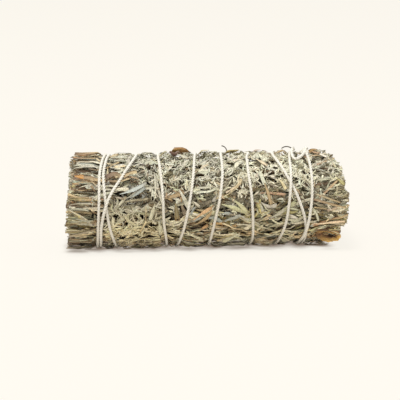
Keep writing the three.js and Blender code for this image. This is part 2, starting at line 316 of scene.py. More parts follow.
KINDS = {
    # Lengths in mm: each kind's ring and steps, its size, how far its section curls, and how it bends.
    "tuft": dict(ring=RING_6, rings=5, length=(1.8, 3.8), width=(0.5, 0.95), thick=0.24, curl=(0.5, 1.9),
                 bend=0.3, twist=0.7, spin=0.6, arch=0.3, groove=0.0, crinkle=0.06, outline="wedge",
                 rise=0.4, cluster=(5, 10), fan=0.75),
    "leaf": dict(ring=RING_8, rings=7, length=(3.6, 7.6), width=(1.0, 1.9), thick=0.24, curl=(0.3, 1.5),
                 bend=0.18, twist=0.5, spin=0.4, arch=0.18, groove=0.12, crinkle=0.09, outline="toothed",
                 rise=0.34, cluster=(2, 5), fan=0.45),
    "strap": dict(ring=RING_6, rings=8, length=(6, 13), width=(0.7, 1.4), thick=0.26, curl=(0.2, 1.4),
                  bend=0.12, twist=0.5, spin=0.35, arch=0.12, groove=0, crinkle=0.07, outline="lance",
                  rise=0.34, cluster=(1, 4), fan=0.16),
    "broad": dict(ring=RING_8, rings=9, length=(6, 11), width=(1.8, 3.0), thick=0.24, curl=(0.0, 1.0),
                  bend=0.12, twist=0.35, spin=0.25, arch=0.12, groove=0.16, crinkle=0.15, outline="toothed",
                  rise=0.32, cluster=(1, 2), fan=0.4),
    "bract": dict(ring=RING_6, rings=6, length=(3.0, 6.0), width=(1.2, 2.2), thick=0.2, curl=(0.3, 1.7),
                  bend=0.2, twist=0.6, spin=0.4, arch=0.3, groove=0, crinkle=0.12, outline="oval",
                  rise=0.34, cluster=(1, 3), fan=0.5),
    "crumb": dict(ring=RING_6, rings=4, length=(0.7, 2.0), width=(0.4, 0.9), thick=0.22, curl=(0, 1.2),
                  bend=0.2, twist=0.8, spin=0.8, arch=0.1, groove=0, crinkle=0.05, outline="oval",
                  rise=0.2, cluster=(1, 3), fan=1.5),
    "under": dict(ring=RING_6, rings=6, length=(8, 14), width=(3.0, 4.6), thick=0.3, curl=(0, 0.8),
                  bend=0.1, twist=0.3, spin=0.1, arch=0.1, groove=0, crinkle=0.1, outline="lance",
                  rise=0.3, cluster=(1, 1), fan=0),
    "twig": dict(ring=TWIG_RING, rings=9, length=(6, 14), width=(0.5, 1.1), thick=0, curl=(0, 0),
                 bend=0.08, twist=0, spin=0, arch=0.05, groove=0, crinkle=0.04, outline="rod",
                 rise=0.6, cluster=(1, 1), fan=0),
}


def outline_of(name, t):
    """Half the width along the spine, as a share of the greatest."""
    if name == "wedge":
        rise = np.sin(0.5 * np.pi * np.clip(t / 0.75, 0, 1)) ** 1.2
        return 0.32 + 0.68 * rise - 0.5 * np.clip(t - 0.8, 0, 1)
    if name == "lance":
        return 0.16 + 0.84 * np.sin(np.pi * np.clip(0.06 + 0.9 * t, 0, 1) ** 0.85) ** 0.8
    if name == "toothed":
        rise = np.sin(0.5 * np.pi * np.clip(t / 0.82, 0, 1)) ** 1.4
        return 0.22 + 0.78 * rise - 0.8 * np.clip(t - 0.85, 0, 1)
    if name == "oval":
        return 0.2 + 0.8 * np.sin(np.pi * t) ** 0.6
    return 1 - 0.25 * t


def spread(random, limits, count):
    """Values drawn evenly between two limits."""
    return limits[0] + (limits[1] - limits[0]) * random.random(count)


class Leaves:
    """A batch of leaves of one kind: one row each, with their places on the sheet or in space."""

    def __init__(self, kind, count, random):
        made = KINDS[kind]
        self.kind = kind
        self.count = count
        self.ring = made["ring"]
        self.t = np.linspace(0, 1, made["rings"])
        self.length = spread(random, made["length"], count)
        self.width = spread(random, made["width"], count)
        self.thick = np.full(count, made["thick"]) * (0.8 + 0.4 * random.random(count))
        self.curl = spread(random, made["curl"], count)
        self.bend = made["bend"] * random.normal(size=count)
        self.twist = made["twist"] * random.normal(size=count)
        self.spin = made["spin"] * random.normal(size=count)
        self.arch = made["arch"] * np.abs(random.normal(size=count))
        self.groove = made["groove"] * (random.random(count) < 0.6)
        self.crinkle = made["crinkle"] * (0.4 + random.random(count))
        self.rise = made["rise"]
        self.tint = np.tile([0.5, 0.5, 0.4], (count, 1))
        self.wither = random.random(count)
        self.wobble = random.random((count, 3)) * 2 * math.pi
        self.proud = np.full(count, PROUD)
        self.lift = np.zeros(count)
        self.taper = np.full(count, 0.3)
        self.tones = None

    def profile(self):
        """Half widths, (leaf, ring)."""
        half = outline_of(KINDS[self.kind]["outline"], self.t)
        ripple = 1 + 0.1 * np.sin(self.wobble[:, :1] + 9 * self.t)
        return 0.5 * self.width[:, None] * half * ripple

    def sideways(self, t):
        """How far the spine bends to one side at places along it."""
        return self.bend[:, None] * self.length[:, None] * ((2 * t - 1) ** 2 - 0.33) * 0.5

    def on_sheet(self, a, b):
        """Places of the sheet, x and s, for points along and across each leaf."""
        cos, sin = np.cos(self.alpha)[:, None, None], np.sin(self.alpha)[:, None, None]
        return self.x[:, None, None] + a * cos - b * sin, self.s[:, None, None] + a * sin + b * cos

    def local(self):
        """The points of every leaf along, across and above its own spine: three (leaf, ring, point)."""
        half = self.profile()
        along = self.length[:, None] * (self.t - 0.5)
        across, side = self.ring[:, 0], self.ring[:, 1]
        if self.kind == "twig":
            knobbly = 1 + 0.12 * np.sin(self.wobble[:, 1:2] + 14 * self.t)
            b, c = ((half * knobbly)[:, :, None] * reach for reach in (across, side))
        else:
            b, c = self.section(half, across, side)
        spin = (self.spin[:, None] + self.twist[:, None] * (self.t - 0.5))[:, :, None]
        turned_b = b * np.cos(spin) - c * np.sin(spin)
        turned_c = b * np.sin(spin) + c * np.cos(spin)
        a = np.broadcast_to(along[:, :, None], turned_b.shape) + self.teeth(across)
        return a, turned_b + self.sideways(self.t)[:, :, None], turned_c

    def section(self, half, across, side):
        """The rolled cross-section: an arc with its edges turned down, thickest at the midrib."""
        curl = self.curl[:, None, None] * (0.8 + 0.4 * self.t[None, :, None])
        curl = np.where(np.abs(curl) < 0.05, 0.05, curl)
        turn = across * curl
        reach = half[:, :, None] / curl
        ends = np.sin(np.pi * np.clip(self.t * 0.9 + 0.05, 0, 1))[None, :, None] ** self.taper[:, None, None]
        thick = 0.5 * self.thick[:, None, None] * ends * side
        b = reach * np.sin(turn) + thick * np.sin(turn)
        c = -reach * (1 - np.cos(turn)) + thick * np.cos(turn)
        ripple = np.sin(self.wobble[:, 2, None, None] + 7 * self.t[None, :, None] + 2.5 * across)
        return b, c - self.groove[:, None, None] * (across == 0) + self.crinkle[:, None, None] * ripple

    def teeth(self, across):
        """A toothed tip: the middle and the edges reach past the two notches between them."""
        if KINDS[self.kind]["outline"] != "toothed":
            return 0
        near_tip = np.clip((self.t - 0.8) / 0.2, 0, 1)[None, :, None]
        tooth = 0.16 * np.cos(across * 2 * math.pi)[None, None, :] * self.width[:, None, None]
        return tooth * near_tip

    def spine_height(self):
        """An arch along the spine, with a crinkle, (leaf, ring)."""
        arch = self.arch[:, None] * (1 - (2 * self.t - 1) ** 2)
        wave = np.sin(self.wobble[:, 1:2] + self.length[:, None] * self.t * 2.1)
        return arch + self.crinkle[:, None] * wave


# ---- The stack: leaves are laid on the sheet one after another, each on what lies there already ----
CELL = 0.4
HALF_SHEET = 62
LANES = np.array([-0.8, -0.4, 0, 0.4, 0.8])
LEVELLING = 7
OWN_LEVEL = 0.55
MEAN_LEVEL = 0.45
SKIN_SMOOTHING = 2.4


class Stack:
    """How high the leaves laid so far reach over each cell of the sheet."""

    def __init__(self):
        self.columns = int(round(ROUND / CELL))
        self.rows = int(2 * HALF_SHEET / CELL)
        self.top = np.zeros((self.rows, self.columns))

    def cells(self, x, s):
        row = np.clip(((x + HALF_SHEET) / CELL).astype(int), 0, self.rows - 1)
        column = np.floor(s / ROUND * self.columns).astype(int) % self.columns
        return row, column

    def lay(self, leaves):
        """Lays a batch in order and keeps each spine's height over the sheet at every ring."""
        steps = 3 * (len(leaves.t) - 1) + 1
        fine = np.linspace(0, 1, steps)
        half = 0.5 * leaves.width * np.maximum(np.cos(leaves.curl * 0.5), 0.5)
        along = leaves.length[:, None] * (fine - 0.5)
        across = leaves.sideways(fine)[:, :, None] + half[:, None, None] * LANES
        x, s = leaves.on_sheet(along[:, :, None], across)
        row, column = self.cells(x, s)
        leaves.cells = row, column
        spine = np.zeros((leaves.count, steps))
        for i in range(leaves.count):
            under = self.top[row[i], column[i]]
            bed = under.max(axis=1)
            wide = np.maximum(bed, np.maximum(np.roll(bed, 1), np.roll(bed, -1)))
            wide = np.pad(wide, LEVELLING // 2, mode="edge")
            wide = np.convolve(wide, np.ones(LEVELLING) / LEVELLING, mode="valid")
            level = OWN_LEVEL * wide + MEAN_LEVEL * wide.mean()
            spine[i] = level
            self.top[row[i], column[i]] = np.maximum(under, (level + leaves.rise)[:, None])
        leaves.height = spine[:, ::3] + 0.5 * leaves.rise
        leaves.lid = spine + leaves.rise

    def seen(self, leaves):
        """Which leaves of a laid batch still show, or lie only just beneath what covers them."""
        buried = self.top[leaves.cells] - leaves.lid[:, :, None]
        return (buried < SHOWING_SHARE * leaves.rise + SHOWING_DEPTH).mean(axis=(1, 2)) > SEEN_SHARE

    def smoothed(self, radius=SKIN_SMOOTHING):
        """The stack's top, levelled over a few millimetres, which becomes the bundle's skin."""
        covered = (self.top > 0).astype(float)
        return blur(self.top, radius) / np.maximum(blur(covered, radius), 0.05)


def blur(field, radius):
    """The field averaged over a bell-shaped patch; it joins up round the bundle."""
    reach = int(3 * radius / CELL)
    offsets = np.arange(-reach, reach + 1)
    weights = bell(offsets * CELL / radius)
    weights /= weights.sum()
    level = sum(w * np.roll(field, k, axis=1) for k, w in zip(offsets, weights))
    padded = np.pad(level, ((reach, reach), (0, 0)), mode="edge")
    return sum(w * padded[reach + k:reach + k + len(field)] for k, w in zip(offsets, weights))


DEEPEST = 2.4
SHOWING_DEPTH = 0.1
SHOWING_SHARE = 0.55
CEILING_SOFTNESS = 0.07
SEEN_SHARE = 0.06


def settle(leaves, stack, level):
    """The points of a laid batch in space: pressed into the bundle's skin and under the string."""
    a, b, c = leaves.local()
    x, s = leaves.on_sheet(a, b)
    row, column = stack.cells(x, s)
    height = (leaves.height + leaves.spine_height())[:, :, None] + c - level[row, column] - SUNK
    height = height + leaves.lift[:, None, None]
    leaves.depth = np.maximum(-height.mean(axis=(1, 2)), 0)
    height = np.where(height < 0, -DEEPEST * (1 - np.exp(height / DEEPEST)), height)
    flat_x, flat_s, flat_h = x.ravel(), s.ravel(), height.ravel()
    each = height[0].size
    step = np.repeat(leaves.length / (len(leaves.t) - 1), each)
    limit = ceiling(flat_x, flat_s, step, np.repeat(leaves.proud, each))
    flat_h = smooth_least(flat_h, limit, CEILING_SOFTNESS)
    return roll_up(flat_x, flat_s, flat_h).reshape(*x.shape, 3)


# ---- What grows where ----
# Stretches of the sheet, as (least x, greatest x, least angle, greatest angle, strength)
ALIGNED = [
    (-60, -43, -90, 270, 1.0), (-43, -26, 42, 112, 0.7), (-22, 60, -90, -36, 0.8), (20, 60, -42, 6, 0.75),
    (-22, 20, -38, -6, 0.3), (-45, -20, -90, -48, 0.5), (-20, 60, 200, 270, 0.6), (-45, 0, 130, 175, 0.5),
    (44, 60, 90, 270, 0.5),
]
BUTTS_TO = -39
TIPS_FROM = 42
CURLY = [
    (-25, -3, 12, 108, 1.0), (-4, 16, 20, 112, 1.0), (15, 54, 12, 100, 0.85), (-34, -24, 26, 84, 0.7),
    (-36, -20, -30, 12, 0.35), (-16, 20, 108, 190, 0.8), (22, 46, 150, 215, 0.8), (-40, -24, 190, 240, 0.7),
]
SOFT = [(-38, -17, -66, 4, 1.0)]
# The first of the next two lists is where deep leaves are painted darker, as shade in the gaps; the second
# is where they are painted lighter, and where leaves' tones vary less.
PAINTED_GAP_SHADE = [(-26, 54, -32, 34, 1.0), (-38, -24, 4, 50, 0.6), (-60, -40, -60, 60, 0.8)]
FULL = [(8, 40, 30, 104, 1.0), (-38, -17, -66, 4, 0.7)]
CALM = [(-38, -17, -66, 6, 0.7), (-26, 6, 24, 112, 0.4), (2, 52, 24, 112, 0.8), (38, 54, -5, 60, 0.6)]
# Patches of colour, as (x, angle, reach along x, reach round in degrees, strength)
PATCHES = {
    "brown": [(-46, 92, 6, 16, 1.0), (-48, -36, 5, 20, 0.8), (-9, 101, 4, 7, 0.8), (26, 92, 7, 9, 0.7),
              (4, -20, 5, 8, 0.5), (24, 20, 5, 12, 0.5), (40, 86, 3, 7, 0.8), (44, -48, 5, 12, 1.0),
              (-12, 12, 5, 9, 0.5), (-49, 41, 3, 6, 0.8), (-38, 44, 7, 6, 0.7), (-22, -62, 7, 16, 0.5),
              (-5, 200, 12, 14, 0.4), (32, 150, 9, 12, 0.4), (8, 26, 5, 9, 0.4)],
    "slate": [(-27, 24, 5, 8, 0.8), (-12, -3, 2, 8, 0.7), (6, -12, 6, 8, 0.7), (42, 8, 5, 9, 0.4),
              (-12, 84, 6, 8, 0.5), (-20, 180, 10, 20, 0.5)],
    "olive": [(-0.5, 99, 2, 5, 1.0), (11, 98, 3.5, 5, 1.0), (20, 97, 3, 5, 0.8), (39.5, 90, 2.5, 5, 1.0),
              (-15, 100, 3, 5, 0.7), (48.5, 28, 1.5, 5, 1.0), (47, 40, 2, 4, 0.8), (50, -10, 3, 30, 0.5),
              (-51, -20, 3, 50, 0.7), (-20, -50, 8, 14, 0.3), (26, 250, 20, 20, 0.4),
              (20, 0, 12, 12, 0.35), (44, -30, 6, 12, 0.4)],
    # The pale patches lie high on the front, where they paint light.
    "pale": [(-10, 55, 12, 26, 0.8), (8, 66, 12, 20, 0.7), (28, 62, 10, 16, 0.6), (-30, 70, 7, 18, 0.9),
             (44, 50, 6, 24, 0.6), (30, 80, 14, 12, 0.5)],
}
# How far the edge of a stretch fades, along the stick and round it
FADE_MM = 4
FADE_DEGREES = 14


def wrapped(degrees):
    """Angles within one turn from the first."""
    return (degrees - FIRST_ANGLE) % FULL_TURN + FIRST_ANGLE


def stretch(boxes, x, s):
    """How strongly a list of stretches holds at places of the sheet, from 0 to 1."""
    degrees = wrapped(s / MM_PER_DEGREE)
    total = np.zeros(len(x))
    for x0, x1, a0, a1, strength in boxes:
        along = np.clip(np.minimum(x - x0, x1 - x) / FADE_MM + 0.5, 0, 1)
        around = np.clip(np.minimum(degrees - a0, a1 - degrees) / FADE_DEGREES + 0.5, 0, 1)
        total = np.maximum(total, strength * along * around)
    return total


def patch(name, x, s):
    """How strongly a kind of patch holds at places of the sheet, from 0 to 1."""
    degrees = s / MM_PER_DEGREE
    total = np.zeros(len(x))
    for px, angle, reach_x, reach_angle, strength in PATCHES[name]:
        turn = turned_from(degrees, angle)
        bump = np.exp(-0.5 * (((x - px) / reach_x) ** 2 + (turn / reach_angle) ** 2))
        total = total + strength * bump
    return np.clip(total, 0, 1)


DRIFT_WAVES = 6
DRIFT_RANGE = 2.5


def drift(x, s, seed, scale):
    """Smooth noise over the sheet, from about -1 to 1, the same at s and one round further."""
    random = np.random.default_rng(seed)
    total = np.zeros(len(x))
    for _ in range(DRIFT_WAVES):
        waves = random.integers(-4, 5)
        pace = random.normal() / scale
        total = total + np.sin(x * pace + waves * 2 * math.pi * s / ROUND + random.random() * 6.28)
    return total / DRIFT_RANGE


# Dry leaf colours, as they look in even light
TONES = {
    "pale": (0.785, 0.765, 0.675), "sage": (0.735, 0.715, 0.61), "grey": (0.69, 0.675, 0.60),
    "green": (0.66, 0.65, 0.525), "olive": (0.62, 0.575, 0.39), "slate": (0.60, 0.61, 0.58),
    "tan": (0.74, 0.67, 0.53), "brown": (0.58, 0.49, 0.365), "rust": (0.635, 0.51, 0.36),
    "dark": (0.43, 0.375, 0.27),
}


def to_linear(colour):
    colour = np.asarray(colour, float)
    return np.where(colour <= 0.04045, colour / 12.92, ((colour + 0.055) / 1.055) ** 2.4)


def tone_weights(x, s):
    """The chance of each tone at places of the sheet: (place, tone)."""
    brown, slate = patch("brown", x, s), patch("slate", x, s)
    olive, pale = patch("olive", x, s), patch("pale", x, s)
    one = np.ones(len(x))
    up = np.sin(np.radians(s / MM_PER_DEGREE))
    # High on the stick more leaves take the pale tone, which paints light on its top; low on it more take
    # warm tones and fewer the grey.
    high, low = np.clip(up - 0.4, 0, 1), np.clip(-0.4 - up, 0, 1)
    return np.stack([
        0.20 * one + 0.4 * pale + 0.6 * high, 0.42 * one, 0.26 * one - 0.2 * low, 0.10 * one + 0.1 * olive,
        0.02 * one + 0.6 * olive + 0.1 * low, 0.02 * one + 0.5 * slate, 0.05 * one + 0.4 * brown + 0.5 * low,
        0.015 * one + 0.32 * brown + 0.1 * low, 0.004 * one + 0.16 * brown, 0.02 * one,
    ], axis=1)


# Where tones stand in the list: the brown ones, and the darkest, which the under leaves lean to as painted
# shade beneath the others
BROWN_TONES = slice(6, 9)
UNDER_SHADE_TONE = 9
OWN_TONE_CHANCE = 0.4
# Painted light on the leaves, high on the front and low on it: its middle and its spread in degrees, and how
# much it adds to each channel
PAINTED_LIGHT_ABOVE = 46, 25, [0.125, 0.135, 0.155]
PAINTED_LIGHT_BELOW = -32, 18, [0.195, 0.185, 0.145]
DARK_ENDS = 0.01
DARK_HIGH_BUTTS = 0.1
DARK_LOW_BUTTS = 0.23
UNEVEN = 0.055
UNEVEN_ENDS = 0.06
DRIFT_SHADE = 0.03
HUE_CHANGE = 0.008


def pick_tones(leaves, random):
    """Each leaf's tone, by chance its own or its cluster's, and nearer the mean in calm stretches."""
    weights = tone_weights(leaves.x[leaves.first], leaves.s[leaves.first])
    if leaves.kind == "bract":
        weights[:, BROWN_TONES] += [0.3, 0.16, 0.05]
    # Leaves of the under layer lean to the dark tone: painted shade in the gaps between the leaves above.
    if leaves.kind == "under":
        weights[:, UNDER_SHADE_TONE] += 0.3
    own, shared = random.random(leaves.count), random.random(leaves.count)[leaves.cluster]
    draw = np.where(random.random(leaves.count) < OWN_TONE_CHANCE, own, shared)
    if leaves.tones is not None:
        return leaves.tones
    if leaves.kind == "twig":
        wood = np.array(list(WOOD_TONES.values()))
        return wood[(draw * len(wood)).astype(int)]
    chance = np.cumsum(weights, axis=1)
    pick = (draw[:, None] * chance[:, -1:] > chance).sum(axis=1)
    named = np.array(list(TONES.values()))
    tones = named[np.minimum(pick, len(TONES) - 1)]
    calm = stretch(CALM, leaves.x, leaves.s)[:, None]
    return tones + calm * (weights @ named / weights.sum(axis=1, keepdims=True) - tones)


def painted_light_round(leaves):
    """Painted light: how much lighter leaves are painted, high on the front and low on it: (leaf, channel).
    """
    degrees = wrapped(leaves.s / MM_PER_DEGREE)
    (high, high_reach, high_gain), (low, low_reach, low_gain) = PAINTED_LIGHT_ABOVE, PAINTED_LIGHT_BELOW
    above = bell((degrees - high) / high_reach)[:, None]
    above = above * np.interp(leaves.x, [0, 25, 38, 44], [1, 1.55, 1.55, 1])[:, None]
    below = bell((degrees - low) / low_reach)[:, None]
    return 1 + above * high_gain + below * low_gain


def darkness_at_ends(leaves):
    """How much darker leaves are at the stick's ends, most at the butts, high and low: (leaf, 1)."""
    degrees = wrapped(leaves.s / MM_PER_DEGREE)
    low_butts = np.clip((-4 - degrees) / 20, 0, 1) * (leaves.x < 0)
    high_butts = np.clip((degrees - 48) / 15, 0, 1) * (leaves.x < 0)
    return (DARK_ENDS + DARK_HIGH_BUTTS * high_butts + DARK_LOW_BUTTS * low_butts)[:, None]


def colour_leaves(leaves, random):
    """Leaves of one cluster share a tone, each a little lighter or darker than the next, with painted light
    high and low on the front and darker ends.
    """
    tones = pick_tones(leaves, random)
    at_ends = np.clip((np.abs(leaves.x - 1) - 38) / 4, 0, 1)[:, None]
    uneven = UNEVEN * (1 - 0.6 * stretch(FULL, leaves.x, leaves.s)[:, None]) + UNEVEN_ENDS * at_ends
    by_chance = uneven * random.normal(size=(leaves.count, 1))
    shade = 1 + by_chance + DRIFT_SHADE * drift(leaves.x, leaves.s, 8, 9)[:, None]
    # Painted light high and low on the front, and the ends darker
    shade = shade * painted_light_round(leaves) * (1 - darkness_at_ends(leaves) * at_ends)
    hue = HUE_CHANGE * random.normal(size=(leaves.count, 3))
    leaves.tint = to_linear(np.clip(tones * shade + hue, 0.05, 0.95))


def paint_gap_shade(leaves):
    """Painted shade: leaves that lie deep between the others are painted darker and browner where gaps show,
    and painted lighter in the full stretches; the gap stretches as a whole are a little lighter.
    """
    hollow = stretch(PAINTED_GAP_SHADE, leaves.x, leaves.s)[:, None]
    full = stretch(FULL, leaves.x, leaves.s)[:, None]
    deep = np.clip((leaves.depth[:, None] - 0.4) / 1.6, 0, 1)
    darker = 1 - deep * hollow * [0.5, 0.53, 0.58] + 0.6 * deep * full
    leaves.tint = leaves.tint * (1 + 0.08 * hollow) * darker


# ---- Sprigs, from the frame ----
class Sprig:
    def __init__(self, node):
        low, high = (np.array(corner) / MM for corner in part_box(node))
        self.node = node
        self.ends = low[0], high[0]
        self.y, self.z = (low[1] + high[1]) / 2, (low[2] + high[2]) / 2
        self.half_y, self.half_z = (high[1] - low[1]) / 2, (high[2] - low[2]) / 2
        self.from_axis = math.hypot(self.y, self.z - AXIS_HEIGHT)
        self.angle = math.degrees(math.atan2(self.z - AXIS_HEIGHT, -self.y))
        self.outer = self.from_axis > OUTER_RING_INSIDE
        self.left = self.ends[0] + self.outer * short_by(SHORT_LEFT, self.angle)
        self.right = self.ends[1] - self.outer * short_by(SHORT_RIGHT, self.angle)


def find_sprigs():
    return [Sprig(node) for node in sorted(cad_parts) if node != STRING_NODE]


def owners(s, outer):
    """Which outer sprig each place round the bundle belongs to."""
    degrees = (s / MM_PER_DEGREE)[:, None]
    angles = np.array([sprig.angle for sprig in outer])[None, :]
    return np.abs(turned_from(degrees, angles)).argmin(axis=1)


# ---- Sowing: where the leaves of each layer go ----
HALF_LENGTH = 52
# Steps of a sequence that fills a square evenly, along the stick and round it
EVEN_STEP_X = 0.7548776662
EVEN_STEP_S = 0.5698402910
FLIP_CHANCE = 0.35
BASE_SHARE = 0.35
PLACE_JITTER = 0.4
RAGGED_LEFT = 0.8
RAGGED_RIGHT = 1.4


def even_places(count, random):
    """Places spread evenly over the sheet, with some jitter."""
    k = np.arange(count)
    x = -HALF_LENGTH + 2 * HALF_LENGTH * ((0.5 + k * EVEN_STEP_X) % 1)
    s = ROUND * ((0.5 + k * EVEN_STEP_S) % 1)
    order = random.permutation(count)
    return x[order] + random.normal(size=count), s[order] + random.normal(size=count)


def directions(x, s, random):
    """Which way clusters point: along the stick in aligned stretches, any way where they are curly."""
    curly, aligned = stretch(CURLY, x, s), stretch(ALIGNED, x, s)
    loose = (0.5 + 0.9 * curly) * (1 - 0.88 * aligned)
    lean = 0.5 * drift(x, s, 3, 9) * (1 - 0.9 * aligned)
    flip = np.where(random.random(len(x)) < FLIP_CHANCE, math.pi, 0)
    return lean + loose * random.normal(size=len(x)) + flip


# Where the leaves stop short of their sprigs' ends (or reach past them, below 0): angle, reach, mm
SHORT_LEFT = [(-32, 14, -0.6), (-54, 10, -0.7), (62, 9, 0.6), (88, 8, 0.5)]
SHORT_RIGHT = [(26, 6, 2.0), (40, 4, 1.6), (-33, 8, 2.2), (84, 6, 1.2), (101, 10, 1.6), (70, 4, -0.6)]


def short_by(steps, degrees):
    """How far the leaves stop short at angles round the stick."""
    total = 0.0
    for angle, reach, length in steps:
        turn = turned_from(degrees, angle)
        total = total + length * np.clip(1.5 - np.abs(turn) / reach, 0, 1)
    return total


def stick_ends(s, outer):
    """Where the stick begins and ends at places round it, between the ends of its outer sprigs."""
    ring = sorted(outer, key=lambda sprig: sprig.angle)
    angles = [sprig.angle for sprig in ring]
    degrees = s / MM_PER_DEGREE
    left, right = (np.interp(degrees, angles, [sprig.ends[end] for sprig in ring], period=FULL_TURN)
                   for end in (0, 1))
    return left + short_by(SHORT_LEFT, degrees), right - short_by(SHORT_RIGHT, degrees)


def hold_within_ends(leaves, outer, random):
    """Moves leaves along X so that they end where the stick does."""
    left, right = stick_ends(leaves.s, outer)
    left = left - 0.1 + RAGGED_LEFT * random.random(leaves.count)
    right = right - 0.1 - RAGGED_RIGHT * random.random(leaves.count)
    reach = 0.5 * leaves.length * np.abs(np.cos(leaves.alpha))
    leaves.x = np.minimum(np.maximum(leaves.x, left + reach), right - reach)


def sow(random, kind, count, keep=None):
    """Clusters of leaves that fan out from one place each."""
    x, s = even_places(count, random)
    if keep is not None:
        kept = random.random(count) < keep(x, s)
        x, s = x[kept], s[kept]
    made = KINDS[kind]
    sizes = random.integers(made["cluster"][0], made["cluster"][1] + 1, len(x))
    cluster = np.repeat(np.arange(len(x)), sizes)
    heading = directions(x, s, random)[cluster]
    leaves = Leaves(kind, len(cluster), random)
    leaves.cluster = cluster
    leaves.first = np.repeat(np.cumsum(sizes) - sizes, sizes)
    tidy = 1 - 0.75 * stretch(ALIGNED, x, s)[cluster]
    leaves.alpha = heading + made["fan"] * tidy * random.normal(size=len(cluster))
    base = BASE_SHARE * leaves.length
    leaves.x = x[cluster] + base * np.cos(leaves.alpha) + PLACE_JITTER * random.normal(size=len(cluster))
    leaves.s = s[cluster] + base * np.sin(leaves.alpha) + PLACE_JITTER * random.normal(size=len(cluster))
    return leaves


def curly(x, s):
    return 0.12 + 0.88 * stretch(CURLY, x, s)


def plain(x, s):
    return 1 - 0.8 * stretch(CURLY, x, s)


def straight(x, s):
    return 0.1 + 0.9 * stretch(ALIGNED, x, s)


def soft(x, s):
    return stretch(SOFT, x, s)


def at_butts(x, s):
    return x < BUTTS_TO


def at_tips(x, s):
    return x > TIPS_FROM


# Every batch on the sheet, from the deepest to the outermost: its kind, how many clusters, and where they
# grow if not everywhere. A row with no number is the leaves of that kind that stand out.
LAYERS = [
    ("under", 560), ("leaf", 260), ("broad", 160), ("twig", 40, straight), ("strap", 360, straight),
    ("leaf", 420, plain), ("tuft", 700, curly), ("broad", 130, plain), ("bract", 120),
    ("strap", 500, straight), ("leaf", 420, plain), ("twig", 30, straight), ("tuft", 2300, curly),
    ("leaf", 90, plain), ("strap", 260, straight), ("bract", 60), ("twig", 520, at_butts),
    ("strap", 500, at_butts), ("twig", 260, at_tips), ("tuft", 450, at_tips), ("leaf", 500, soft),
    ("tuft", 700, soft), ("bract",), ("leaf",), ("twig",), ("crumb", 600),
]


